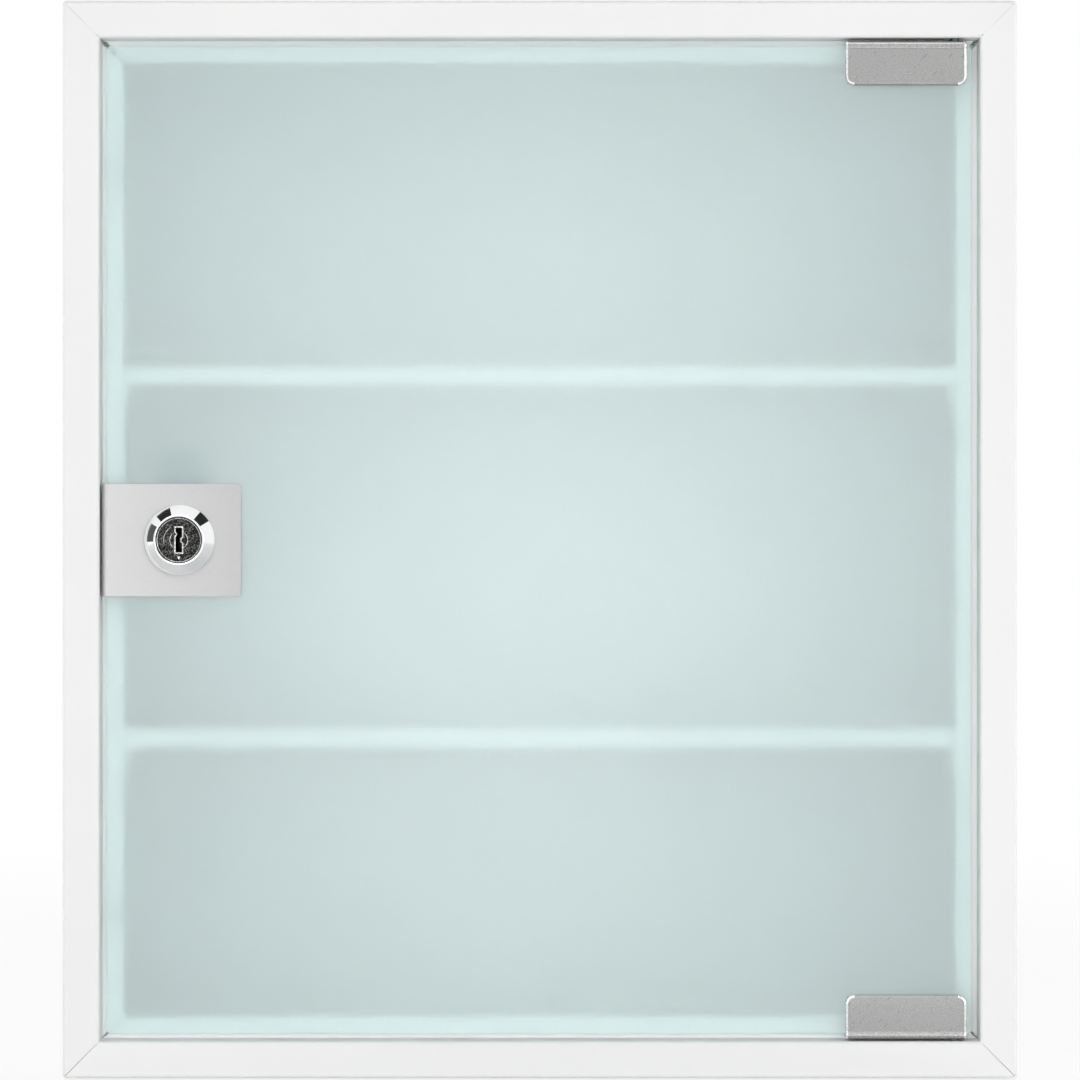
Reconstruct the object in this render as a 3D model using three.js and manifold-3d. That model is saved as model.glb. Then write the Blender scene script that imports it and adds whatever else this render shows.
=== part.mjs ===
// Wall cabinet for medicines: folded sheet-steel body, frosted glass door, pivot hinges and a cam lock.
// Millimetres. The origin is the middle of the face that lies against the wall.
// X points right as seen from the front, Y points into the wall and Z points up.

import * as THREE from "three";
import { mergeVertices } from "three/addons/utils/BufferGeometryUtils.js";
import loadManifold from "manifold-3d";

const wasm = await loadManifold();
wasm.setup();

// Cabinet body
const CABINET_WIDTH = 310;
const CABINET_HEIGHT = 350;
const CABINET_DEPTH = 120; // from the wall to the front frame
const SHEET = 0.8;
const FOLD_RADIUS = 0.4; // inside radius of the folds in the cabinet's sheet
const FRAME_WIDTH = 12; // front frame, from the outer face to the door opening
const STOP_LIP = 7; // how far the lip behind the door reaches into the opening
const REAR_FLANGE = 12;
const MITRE_SLIT = 0.3; // open slit along each mitre of the front frame
const CORNER_RELIEF = 1.5; // wider slit between the returns and lips at a corner
const RELIEF_HOLE = 1.1; // diameter of the bend relief at each outer corner
const RELIEF_INSET = 1; // from the outer faces to the middle of a bend relief

// Back panel
const BACK_INSET = 1; // back panel's edge in from the outer faces
const KEYHOLE_SPACING = 220;
const KEYHOLE_DROP = 45; // from the cabinet's top to the wide end of a keyhole
const KEYHOLE_HEAD = 9; // diameter of the wide end
const KEYHOLE_NECK = 4.6; // width of the neck above it
const KEYHOLE_RISE = 9; // from the wide end to the seat of the hanging screw
const STEADY_HOLE = 5;
const STEADY_RISE = 45; // from the cabinet's underside to the lower screw holes

// Shelves and their bearers
const SHELF_HEIGHT = 113.2; // lower shelf's top above the cabinet's underside
const SHELF_PITCH = 118.4;
const SHELF_FRONT_EDGE = 6;
const SHELF_REAR_EDGE = 6;
const SHELF_SIDE_GAP = 0.7;
const SHELF_END_GAP = 0.5; // to the stop lip in front and the rear flange behind
const BEARER_SEAT = 20.2; // seat's reach from the side wall
const BEARER_LEG = 12;
const BEARER_EAR = 14.5; // ear turned down at the seat's front end
const EAR_SLANT = 3;
const EAR_GAP = 0.3; // between the ear and the shelf's front edge
const EAR_ROOT = 6; // length of seat that carries the ear
const EAR_RELIEF = 1; // slot between the ear and the leg on the wall

// Door glass
const GLASS_THICKNESS = 4;
const GLASS_RECESS = 2.5; // glass behind the front of the frame
const GLASS_CORNER = 2;
const GLASS_CHAMFER = 0.6;
const LOCK_SIDE_GAP = 2;
const HINGE_SIDE_GAP = 2.4;
const TOP_GAP = 2.4;
const BOTTOM_GAP = 2;
const STOP_GAP = 5; // between the glass and the stop lip
const BUMPER_DIAMETER = 4.4;
const BUMPER_INSET = 41.5; // from the door opening's upper or lower edge to a bumper's middle
const BUMPER_GAP = 0.3; // between a bumper and the glass

// Fits
const FIT = 0.05; // hairline between pieces that touch
const LINER = 0.4; // plastic liner between glass and metal
const LINER_SETBACK = 0.5; // liner's edge inside the metal that covers it

// Hinges
const PIVOT_INSET = 8; // hinge axis in from the edge of the door opening
const CLIP_WIDTH = 39.5;
const CLIP_HEIGHT = 14.5;
const CLIP_SHEET = 1;
const CLIP_FOLD_RADIUS = 1;
const CLIP_CORNER = 2;
const CLIP_OVERHANG = 3.8; // clip's end beyond the hinge axis
const PIN_DIAMETER = 3;
const PIN_CLEARANCE = 0.2;
const PIN_END_GAP = 0.3;
const BUSH_WALL = 0.8;
const BUSH_FLANGE = 0.7;
const BUSH_FLANGE_HEIGHT = 1;
const BUSH_BORE_DEPTH = 3;
const BUSH_FLOOR = 1;
const GRUB_DIAMETER = 4;
const GRUB_SOCKET = 2.3; // across the corners of the hexagon
const GRUB_SOCKET_DEPTH = 1.4;
const GRUB_SPACING = 20;
const GRUB_RISE = 5.5; // from the leaf's free edge to the grub screws
const BOSS_DIAMETER = 6.4;
const BOSS_HEIGHT = 1.6;

// Lock bracket and barrel
const LOCK_INSET = 26; // lock axis in from the edge of the door opening
const BRACKET_WIDTH = 45.5;
const BRACKET_HEIGHT = 36.5;
const BRACKET_SHEET = 1;
const BRACKET_FOLD_RADIUS = 1;
const BRACKET_CORNER = 1;
const BARREL_DIAMETER = 19;
const BARREL_FLATS = 16.5;
const BARREL_CLEARANCE = 0.2;
const GLASS_HOLE_CLEARANCE = 1;
const BEZEL_DIAMETER = 23.2;
const BEZEL_TOP_DIAMETER = 16.4;
const BEZEL_HEIGHT = 4.5;
const BEZEL_RIM = 1.2; // straight side of the bezel below its cone
const WASHER_DIAMETER = 23.5;
const WASHER_THICKNESS = 0.8;
const NUT_CORNERS = 25; // across the corners of the hexagon
const NUT_THICKNESS = 3.5;

// Lock core
const PLUG_FACE = 14.8;
const PLUG_BODY = 13;
const PLUG_HEAD = 3;
const PLUG_SINK = 0.5; // plug's face behind the bezel's top
const PLUG_RIM = 0.5;
const PLUG_DISH = 0.35;
const PLUG_CLEARANCE = 0.15;
const PLUG_STAND = 0.3; // plug's shoulder beyond the barrel
const KEYWAY_WIDTH = 2;
const KEYWAY_HEIGHT = 8;
const KEYWAY_WARD = 0.55; // depth of the ribs that shape the key slot
const WAFER_COUNT = 5;
const WAFER_START = 1.2; // first wafer behind the plug's head
const WAFER_PITCH = 1.3;
const WAFER_THICKNESS = 0.7;
const WAFER_WIDTH = 5;
const WAFER_WINDOW_MARGIN = 0.4; // window larger than the key slot, each way
const WAFER_CLEARANCE = 0.08;
const TAIL_SQUARE = 7;
const TAIL_SHORT = 0.2; // tail ends inside the cam, so that the screw clamps it
const CAM_WIDTH = 16;
const CAM_REACH = 29.5;
const CAM_THICKNESS = 2;
const CAM_CORNER = 5;
const CAM_CLEARANCE = 1; // behind the stop lip and the nut
const CAM_WASHER_DIAMETER = 11;
const CAM_WASHER_THICKNESS = 0.8;
const CAM_SCREW_DIAMETER = 5;
const CAM_SCREW_LENGTH = 5.5;
const CAM_SCREW_HEAD = 8.5;
const CAM_SCREW_HEAD_HEIGHT = 2.2;
const CAM_SCREW_CHAMFER = 0.7;
const TAP_MARGIN = 1; // solid metal between the tapped hole and the key slot

// Fineness of round forms
const FOLD_STEPS = 3;
const CORNER_STEPS = 2;
const SMALL_SIDES = 24;
const LARGE_SIDES = 48;
const OVERCUT = 1; // how far a cutting tool runs past the face that it cuts
const MERGE_DISTANCE = 1e-4;

// Planes and edges that several pieces share
const outerX = CABINET_WIDTH / 2;
const outerZ = CABINET_HEIGHT / 2;
const frontY = -CABINET_DEPTH;
const openingX = outerX - FRAME_WIDTH;
const openingZ = outerZ - FRAME_WIDTH;
const halfSheet = SHEET / 2;

const glassFront = frontY + GLASS_RECESS;
const glassBack = glassFront + GLASS_THICKNESS;
const glassLeft = -openingX + LOCK_SIDE_GAP;
const glassRight = openingX - HINGE_SIDE_GAP;
const glassTop = openingZ - TOP_GAP;
const glassBottom = -openingZ + BOTTOM_GAP;
const linerSpace = LINER + 2 * FIT;

const stopFront = glassBack + STOP_GAP;
const stopRear = stopFront + SHEET;
const flangeRear = -SHEET - FIT;
const flangeFront = flangeRear - SHEET;
const shelfFront = stopRear + SHELF_END_GAP;
const shelfRear = flangeFront - SHELF_END_GAP;
const bumperX = (glassLeft - openingX + STOP_LIP) / 2; // middle of the stop lip's stretch behind the glass

const pivotX = openingX - PIVOT_INSET;
const pivotY = (glassFront + glassBack) / 2;
const bushRadius = PIN_DIAMETER / 2 + PIN_CLEARANCE + BUSH_WALL;

const lockX = -openingX + LOCK_INSET;
const lockZ = (glassTop + glassBottom) / 2;
const bracketFront = glassFront - linerSpace - BRACKET_SHEET;
const bracketRear = glassBack + linerSpace + BRACKET_SHEET;
const lockHole = BARREL_DIAMETER / 2 + BARREL_CLEARANCE;
const glassHole = BARREL_DIAMETER / 2 + GLASS_HOLE_CLEARANCE;

// Finishes
const finishes = {
  whitePaint: { color: 0xeeeeed, roughness: 0.45, metalness: 0 },
  frostedGlass: { color: 0xcfe1df, roughness: 0.55, metalness: 0, transparent: true, opacity: 0.7 },
  brushedSteel: { color: 0xadafb0, roughness: 0.4, metalness: 1 },
  satinSteel: { color: 0xd9dadb, roughness: 0.3, metalness: 1 },
  chrome: { color: 0xe3e5e7, roughness: 0.07, metalness: 1 },
  darkNickel: { color: 0x6b6862, roughness: 0.35, metalness: 1 },
  zincPlate: { color: 0xb4b8bc, roughness: 0.35, metalness: 1 },
  nylon: { color: 0xecebe6, roughness: 0.5, metalness: 0 },
  liner: { color: 0xd5d6d2, roughness: 0.6, metalness: 0 },
  silicone: { color: 0xe6e9e8, roughness: 0.4, metalness: 0 },
};

function addPiece(parent, name, geometry, finish) {
  const mesh = new THREE.Mesh(geometry, new THREE.MeshStandardMaterial(finishes[finish]));
  mesh.name = name;
  parent.add(mesh);
  return mesh;
}

// Joining and cutting closed meshes

function solidOf(geometry) {
  const bare = geometry.clone();
  bare.deleteAttribute("normal");
  bare.deleteAttribute("uv");
  const merged = mergeVertices(bare, MERGE_DISTANCE);
  return new wasm.Manifold(new wasm.Mesh({
    numProp: 3,
    vertProperties: new Float32Array(merged.attributes.position.array),
    triVerts: new Uint32Array(merged.index.array),
  }));
}

function geometryOf(solid) {
  const { vertProperties, triVerts } = solid.getMesh();
  const geometry = new THREE.BufferGeometry();
  geometry.setAttribute("position", new THREE.BufferAttribute(new Float32Array(vertProperties), 3));
  geometry.setIndex(new THREE.BufferAttribute(new Uint32Array(triVerts), 1));
  geometry.computeVertexNormals();
  return geometry;
}

function cut(body, ...tools) {
  const rest = tools.reduce((solid, tool) => solid.subtract(solidOf(tool)), solidOf(body));
  return geometryOf(rest);
}

function join(body, ...others) {
  const whole = others.reduce((solid, other) => solid.add(solidOf(other)), solidOf(body));
  return geometryOf(whole);
}

function keepInside(body, tool) {
  return geometryOf(solidOf(body).intersect(solidOf(tool)));
}

// Outlines

function outline(points) {
  return new THREE.Shape(points.map(([a, b]) => new THREE.Vector2(a, b)));
}

function circlePoints(a, b, radius, sides) {
  return Array.from({ length: sides }, (_, side) => {
    const angle = (2 * Math.PI * side) / sides;
    return [a + radius * Math.cos(angle), b + radius * Math.sin(angle)];
  });
}

function circle(a, b, radius, sides = SMALL_SIDES) {
  return outline(circlePoints(a, b, radius, sides));
}

function rectangle(left, bottom, right, top) {
  return outline([[left, bottom], [right, bottom], [right, top], [left, top]]);
}

function roundedRectangle(left, bottom, right, top, radius) {
  const quarter = Math.PI / 2;
  const shape = new THREE.Shape();
  shape.absarc(right - radius, bottom + radius, radius, -quarter, 0);
  shape.absarc(right - radius, top - radius, radius, 0, quarter);
  shape.absarc(left + radius, top - radius, radius, quarter, 2 * quarter);
  shape.absarc(left + radius, bottom + radius, radius, 2 * quarter, 3 * quarter);
  return shape;
}

function withHole(shape, points) {
  shape.holes.push(new THREE.Path(points.map(([a, b]) => new THREE.Vector2(a, b))));
  return shape;
}

// The section of a sheet folded along its mid line, with a round bend at each inner point of the line.
function foldedSheet(midLine, thickness, insideRadius) {
  const half = thickness / 2;
  const bendRadius = insideRadius + half;
  const pivot = new THREE.Vector2();
  const leftOf = (along) => new THREE.Vector2(-along.y, along.x);
  const points = midLine.map(([a, b]) => new THREE.Vector2(a, b));
  const stations = [];
  points.forEach((corner, index) => {
    const before = points[index - 1];
    const after = points[index + 1];
    const arriving = before && corner.clone().sub(before).normalize();
    const leaving = after && after.clone().sub(corner).normalize();
    if (!arriving || !leaving) {
      stations.push({ point: corner, along: arriving ?? leaving });
      return;
    }
    const turn = Math.atan2(arriving.cross(leaving), arriving.dot(leaving));
    const side = Math.sign(turn);
    const setback = bendRadius * Math.tan(Math.abs(turn) / 2);
    const start = corner.clone().addScaledVector(arriving, -setback);
    const centre = start.addScaledVector(leftOf(arriving), side * bendRadius);
    for (let step = 0; step <= FOLD_STEPS; step += 1) {
      const along = arriving.clone().rotateAround(pivot, (turn * step) / FOLD_STEPS);
      const point = centre.clone().addScaledVector(leftOf(along), -side * bendRadius);
      stations.push({ point, along });
    }
  });
  const face = (offset) => stations.map(({ point, along }) => point.clone().addScaledVector(leftOf(along), offset));
  return new THREE.Shape([...face(half), ...face(-half).reverse()]);
}

// Solids from outlines

const axisX = new THREE.Vector3(1, 0, 0);
const axisY = new THREE.Vector3(0, 1, 0);
const axisZ = new THREE.Vector3(0, 0, 1);

// An outline drawn in (Y, Z), pulled along X.
function alongX(shape, from, to, arcSteps = CORNER_STEPS) {
  const options = { depth: to - from, bevelEnabled: false, curveSegments: arcSteps };
  const turn = new THREE.Matrix4().makeBasis(axisY, axisZ, axisX);
  return new THREE.ExtrudeGeometry(shape, options).applyMatrix4(turn).translate(from, 0, 0);
}

// An outline drawn in (X, Z), pulled along Y, with its edges chamfered if asked.
function alongY(shape, from, to, arcSteps = CORNER_STEPS, chamfer = 0) {
  const options = {
    depth: to - from - 2 * chamfer,
    bevelEnabled: chamfer > 0,
    bevelThickness: chamfer,
    bevelSize: chamfer,
    bevelOffset: -chamfer,
    bevelSegments: 1,
    curveSegments: arcSteps,
  };
  const turn = new THREE.Matrix4().makeBasis(axisX, axisZ, axisY.clone().negate());
  return new THREE.ExtrudeGeometry(shape, options).applyMatrix4(turn).translate(0, to - chamfer, 0);
}

// An outline drawn in (X, Y), pulled along Z.
function alongZ(shape, from, to, arcSteps = CORNER_STEPS) {
  const options = { depth: to - from, bevelEnabled: false, curveSegments: arcSteps };
  return new THREE.ExtrudeGeometry(shape, options).translate(0, 0, from);
}

// A profile of (radius, distance along Y), turned about Y.
function turned(profile, sides = SMALL_SIDES) {
  return new THREE.LatheGeometry(profile.map(([radius, along]) => new THREE.Vector2(radius, along)), sides);
}

// Cabinet walls

// Mid line of a wall's sheet: distance in from the outer face, distance back from the front.
const wallMidLine = [
  [REAR_FLANGE, flangeRear - halfSheet - frontY],
  [halfSheet, flangeRear - halfSheet - frontY],
  [halfSheet, halfSheet],
  [FRAME_WIDTH - halfSheet, halfSheet],
  [FRAME_WIDTH - halfSheet, stopRear - halfSheet - frontY],
  [FRAME_WIDTH + STOP_LIP, stopRear - halfSheet - frontY],
];

function wallSection(place) {
  return foldedSheet(wallMidLine.map(([inward, back]) => place(inward, frontY + back)), SHEET, FOLD_RADIUS);
}

// The wedge between two mitres that a wall may fill; along is half its length, across its distance from the middle.
function mitreWedge(along, across, place) {
  const reach = Math.max(FRAME_WIDTH + STOP_LIP, REAR_FLANGE) + OVERCUT;
  const outerEnd = along + OVERCUT - FIT;
  const innerEnd = along - reach - FIT;
  const corners = [
    [-outerEnd, across + OVERCUT],
    [outerEnd, across + OVERCUT],
    [innerEnd, across - reach],
    [-innerEnd, across - reach],
  ];
  return alongY(outline(corners.map(place)), frontY - OVERCUT, OVERCUT);
}

// A slit along one corner's mitre, between two distances in from the outer faces.
function mitreSlit(signX, signZ, width, from, to, near, far) {
  const side = width / 2 / Math.SQRT2;
  const corner = (inset, shift) => [
    signX * (outerX - inset + shift),
    signZ * (outerZ - inset - shift),
  ];
  const points = [corner(from, side), corner(to, side), corner(to, -side), corner(from, -side)];
  return alongY(outline(points), frontY + near, frontY + far);
}

function cornerCuts(signX, signZ) {
  const foldDepth = SHEET + FOLD_RADIUS;
  const lipEnd = FRAME_WIDTH + STOP_LIP + OVERCUT;
  const lipDepth = stopRear - frontY + OVERCUT;
  const reliefX = signX * (outerX - RELIEF_INSET);
  const reliefZ = signZ * (outerZ - RELIEF_INSET);
  return [
    mitreSlit(signX, signZ, MITRE_SLIT, -OVERCUT, FRAME_WIDTH + OVERCUT, -OVERCUT, foldDepth),
    mitreSlit(signX, signZ, CORNER_RELIEF, FRAME_WIDTH - foldDepth, lipEnd, SHEET, lipDepth),
    alongY(circle(reliefX, reliefZ, RELIEF_HOLE / 2, SMALL_SIDES / 2), frontY - OVERCUT, frontY + foldDepth),
  ];
}

const allCornerCuts = [[-1, -1], [1, -1], [1, 1], [-1, 1]].flatMap(([x, z]) => cornerCuts(x, z));

function pivotHole(end) {
  const returnFace = end * openingZ;
  const low = returnFace - SHEET - OVERCUT;
  const high = returnFace + SHEET + OVERCUT;
  return alongZ(circle(pivotX, pivotY, bushRadius + FIT), low, high);
}

function sideWall(side) {
  const section = wallSection((inward, y) => [side * (outerX - inward), y]);
  const wedge = mitreWedge(outerZ, outerX, ([along, across]) => [side * across, along]);
  return cut(keepInside(alongZ(section, -outerZ, outerZ), wedge), ...allCornerCuts);
}

function endWall(end) {
  const section = wallSection((inward, y) => [y, end * (outerZ - inward)]);
  const wedge = mitreWedge(outerX, outerZ, ([along, across]) => [along, end * across]);
  return cut(keepInside(alongX(section, -outerX, outerX), wedge), ...allCornerCuts, pivotHole(end));
}

// Back panel with two keyholes to hang it by and two holes for steady screws

function backPanel() {
  const panelX = outerX - BACK_INSET;
  const panelZ = outerZ - BACK_INSET;
  const sheet = alongY(rectangle(-panelX, -panelZ, panelX, panelZ), -SHEET, 0);
  const through = (shape) => alongY(shape, -SHEET - OVERCUT, OVERCUT);
  const holes = [-1, 1].flatMap((side) => {
    const x = (side * KEYHOLE_SPACING) / 2;
    const headZ = outerZ - KEYHOLE_DROP;
    const seatZ = headZ + KEYHOLE_RISE;
    const neck = KEYHOLE_NECK / 2;
    return [
      through(circle(x, headZ, KEYHOLE_HEAD / 2)),
      through(rectangle(x - neck, headZ, x + neck, seatZ)),
      through(circle(x, seatZ, neck)),
      through(circle(x, -outerZ + STEADY_RISE, STEADY_HOLE / 2)),
    ];
  });
  return cut(sheet, ...holes);
}

// Shelves rest on angles that are welded to the side walls

function shelf(topZ) {
  const front = shelfFront + halfSheet;
  const rear = shelfRear - halfSheet;
  const midLine = [
    [rear, topZ - SHELF_REAR_EDGE],
    [rear, topZ - halfSheet],
    [front, topZ - halfSheet],
    [front, topZ - SHELF_FRONT_EDGE],
  ];
  const halfWidth = outerX - SHEET - SHELF_SIDE_GAP;
  return alongX(foldedSheet(midLine, SHEET, FOLD_RADIUS), -halfWidth, halfWidth);
}

function bearer(side, shelfTop) {
  const seatZ = shelfTop - SHEET - FIT - halfSheet;
  const wallX = side * (outerX - SHEET - FIT - halfSheet);
  const seatEndX = side * (outerX - SHEET - BEARER_SEAT);
  const earFront = shelfFront + SHEET + EAR_GAP;
  const earY = earFront + halfSheet;
  const earFoot = seatZ - BEARER_EAR;
  const rear = shelfRear - SHEET - SHELF_END_GAP;

  const angleLine = [[wallX, seatZ - BEARER_LEG], [wallX, seatZ], [seatEndX, seatZ]];
  const angle = alongY(foldedSheet(angleLine, SHEET, FOLD_RADIUS), earFront + EAR_ROOT / 2, rear);

  const earLine = [[earFront + EAR_ROOT, seatZ], [earY, seatZ], [earY, earFoot]];
  const earOuterX = wallX - side * (halfSheet + EAR_RELIEF);
  const earSpan = [seatEndX, earOuterX].sort((a, b) => a - b);
  const ear = alongX(foldedSheet(earLine, SHEET, FOLD_RADIUS), ...earSpan);

  const slantX = seatEndX + side * EAR_SLANT;
  const pastX = seatEndX - side * OVERCUT;
  const pastZ = earFoot - OVERCUT;
  const slant = outline([
    [seatEndX, earFoot + EAR_SLANT],
    [slantX, earFoot],
    [slantX, pastZ],
    [pastX, pastZ],
    [pastX, earFoot + EAR_SLANT],
  ]);
  const slantCut = alongY(slant, earFront - OVERCUT, earFront + SHEET + OVERCUT);
  return cut(join(angle, ear), slantCut);
}

// A soft dome on the stop lip that the closed door comes to rest against
function bumper() {
  const radius = BUMPER_DIAMETER / 2;
  const height = STOP_GAP - FIT - BUMPER_GAP;
  const crown = Array.from({ length: FOLD_STEPS + 1 }, (_, step) => {
    const angle = (Math.PI / 2) * (step / FOLD_STEPS);
    return [radius * Math.cos(angle), (height / 2) * (1 + Math.sin(angle))];
  });
  crown[FOLD_STEPS][0] = 0;
  return turned([[0, 0], [radius, 0], ...crown]).rotateX(Math.PI);
}

// Hinges: a U-shaped clip on the glass edge, its liner, a pivot pin and a bush in the frame's return

function pivotBush() {
  const bore = PIN_DIAMETER / 2 + PIN_CLEARANCE;
  const flangeStart = SHEET + FIT;
  const flangeEnd = flangeStart + BUSH_FLANGE_HEIGHT;
  const flange = bushRadius + BUSH_FLANGE;
  const top = BUSH_BORE_DEPTH + BUSH_FLOOR;
  return turned([
    [0, BUSH_BORE_DEPTH],
    [bore, BUSH_BORE_DEPTH],
    [bore, 0],
    [bushRadius, 0],
    [bushRadius, flangeStart],
    [flange, flangeStart],
    [flange, flangeEnd],
    [bushRadius, flangeEnd],
    [bushRadius, top],
    [0, top],
  ]);
}

const clipRight = pivotX + CLIP_OVERHANG;
const clipLeft = clipRight - CLIP_WIDTH;
const clipSpace = linerSpace + CLIP_SHEET / 2;
const clipRear = glassBack + linerSpace + CLIP_SHEET;
const grubRow = [-1, 1].map((side) => (clipLeft + clipRight) / 2 + (side * GRUB_SPACING) / 2);

function hingeEdges(end) {
  const edge = end > 0 ? glassTop : glassBottom;
  const outside = edge + end * (linerSpace + CLIP_SHEET);
  const free = outside - end * CLIP_HEIGHT;
  return { edge, outside, free, grubZ: free + end * GRUB_RISE };
}

// The outline of a leaf with its two free corners rounded, running past the fold at its other end.
function leafOutline(free, past, radius) {
  return roundedRectangle(clipLeft, Math.min(free, past), clipRight, Math.max(free, past), radius);
}

function hingeClip(end) {
  const { edge, outside, free, grubZ } = hingeEdges(end);
  const crown = edge + end * clipSpace;
  const midLine = [
    [glassFront - clipSpace, free],
    [glassFront - clipSpace, crown],
    [glassBack + clipSpace, crown],
    [glassBack + clipSpace, free],
  ];
  const folded = alongX(foldedSheet(midLine, CLIP_SHEET, CLIP_FOLD_RADIUS), clipLeft, clipRight);
  const leaf = leafOutline(free, outside + end * (CLIP_CORNER + OVERCUT), CLIP_CORNER);
  const rounded = keepInside(folded, alongY(leaf, frontY - OVERCUT, clipRear + OVERCUT));
  const bosses = grubRow.map((x) => {
    return alongY(circle(x, grubZ, BOSS_DIAMETER / 2), clipRear - CLIP_SHEET / 2, clipRear + BOSS_HEIGHT);
  });
  const threads = grubRow.map((x) => {
    const radius = GRUB_DIAMETER / 2 + FIT;
    return alongY(circle(x, grubZ, radius), pivotY, clipRear + BOSS_HEIGHT + OVERCUT);
  });
  const pinHole = alongZ(
    circle(pivotX, pivotY, PIN_DIAMETER / 2 + FIT),
    Math.min(edge, outside + end * OVERCUT),
    Math.max(edge, outside + end * OVERCUT),
  );
  return cut(join(rounded, ...bosses), ...threads, pinHole);
}

function clipLiner(end) {
  const { edge, free } = hingeEdges(end);
  const middle = FIT + LINER / 2;
  const freeEdge = free + end * LINER_SETBACK;
  const midLine = [
    [glassFront - middle, freeEdge],
    [glassFront - middle, edge + end * middle],
    [glassBack + middle, edge + end * middle],
    [glassBack + middle, freeEdge],
  ];
  const insideRadius = CLIP_FOLD_RADIUS - FIT - LINER;
  const section = foldedSheet(midLine, LINER, insideRadius);
  return alongX(section, clipLeft + LINER_SETBACK, clipRight - LINER_SETBACK);
}

function pivotPin(end) {
  const inner = hingeEdges(end).edge + end * linerSpace;
  const outer = end * (openingZ + BUSH_BORE_DEPTH - PIN_END_GAP);
  return alongZ(circle(pivotX, pivotY, PIN_DIAMETER / 2), Math.min(inner, outer), Math.max(inner, outer));
}

function grubScrew(x, end) {
  const { grubZ } = hingeEdges(end);
  const tip = glassBack + linerSpace;
  const outerEnd = clipRear + BOSS_HEIGHT;
  const body = alongY(circle(x, grubZ, GRUB_DIAMETER / 2), tip, outerEnd);
  const socket = circle(x, grubZ, GRUB_SOCKET / 2, 6);
  return cut(body, alongY(socket, outerEnd - GRUB_SOCKET_DEPTH, outerEnd + OVERCUT));
}

// Door glass and the bracket that carries the lock

function glassPane() {
  const pane = roundedRectangle(glassLeft, glassBottom, glassRight, glassTop, GLASS_CORNER);
  withHole(pane, circlePoints(lockX, lockZ, glassHole, LARGE_SIDES));
  return alongY(pane, glassFront, glassBack, CORNER_STEPS, GLASS_CHAMFER);
}

// A U of sheet over the free edge of the glass, drawn in (X, Y) and pulled along the edge.
function edgeChannel(offset, thickness, insideRadius, freeX, halfHeight) {
  const midLine = [
    [freeX, glassFront - offset],
    [glassLeft - offset, glassFront - offset],
    [glassLeft - offset, glassBack + offset],
    [freeX, glassBack + offset],
  ];
  return alongZ(foldedSheet(midLine, thickness, insideRadius), lockZ - halfHeight, lockZ + halfHeight);
}

const bracketFree = glassLeft - linerSpace - BRACKET_SHEET + BRACKET_WIDTH;

function barrelHole(radius, acrossFlats) {
  const hole = alongY(circle(lockX, lockZ, radius, LARGE_SIDES), bracketFront - OVERCUT, bracketRear + OVERCUT);
  const side = acrossFlats / 2;
  const flats = rectangle(lockX - side, lockZ - BARREL_DIAMETER, lockX + side, lockZ + BARREL_DIAMETER);
  return keepInside(hole, alongY(flats, bracketFront - OVERCUT, bracketRear + OVERCUT));
}

function lockBracket() {
  const half = BRACKET_HEIGHT / 2;
  const offset = linerSpace + BRACKET_SHEET / 2;
  const channel = edgeChannel(offset, BRACKET_SHEET, BRACKET_FOLD_RADIUS, bracketFree, half);
  const pastFold = glassLeft - linerSpace - BRACKET_SHEET - BRACKET_CORNER - OVERCUT;
  const leaf = roundedRectangle(pastFold, lockZ - half, bracketFree, lockZ + half, BRACKET_CORNER);
  const rounded = keepInside(channel, alongY(leaf, bracketFront - OVERCUT, bracketRear + OVERCUT));
  return cut(rounded, barrelHole(lockHole, BARREL_FLATS + 2 * BARREL_CLEARANCE));
}

function lockLiner() {
  const half = BRACKET_HEIGHT / 2 - LINER_SETBACK;
  const insideRadius = BRACKET_FOLD_RADIUS - FIT - LINER;
  const channel = edgeChannel(FIT + LINER / 2, LINER, insideRadius, bracketFree - LINER_SETBACK, half);
  const hole = circle(lockX, lockZ, glassHole, LARGE_SIDES);
  return cut(channel, alongY(hole, bracketFront - OVERCUT, bracketRear + OVERCUT));
}

// Lock: distances along Y are measured from the front of the bracket, on the lock's own axis

const clampDepth = bracketRear - bracketFront;
const washerStart = clampDepth + FIT;
const nutStart = washerStart + WASHER_THICKNESS + FIT;
const nutEnd = nutStart + NUT_THICKNESS;
const camStart = Math.max(stopRear - bracketFront, nutEnd) + CAM_CLEARANCE;
const camEnd = camStart + CAM_THICKNESS;
const plugShoulder = camStart - FIT;
const barrelEnd = plugShoulder - PLUG_STAND;
const plugFront = PLUG_SINK - BEZEL_HEIGHT;
const plugHeadEnd = plugFront + PLUG_HEAD;
const camWasherStart = camEnd + FIT;
const screwHeadStart = camWasherStart + CAM_WASHER_THICKNESS + FIT;
const screwTip = screwHeadStart - CAM_SCREW_LENGTH;
const tapEnd = screwTip - PIN_END_GAP;
const keywayEnd = tapEnd - TAP_MARGIN;

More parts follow.
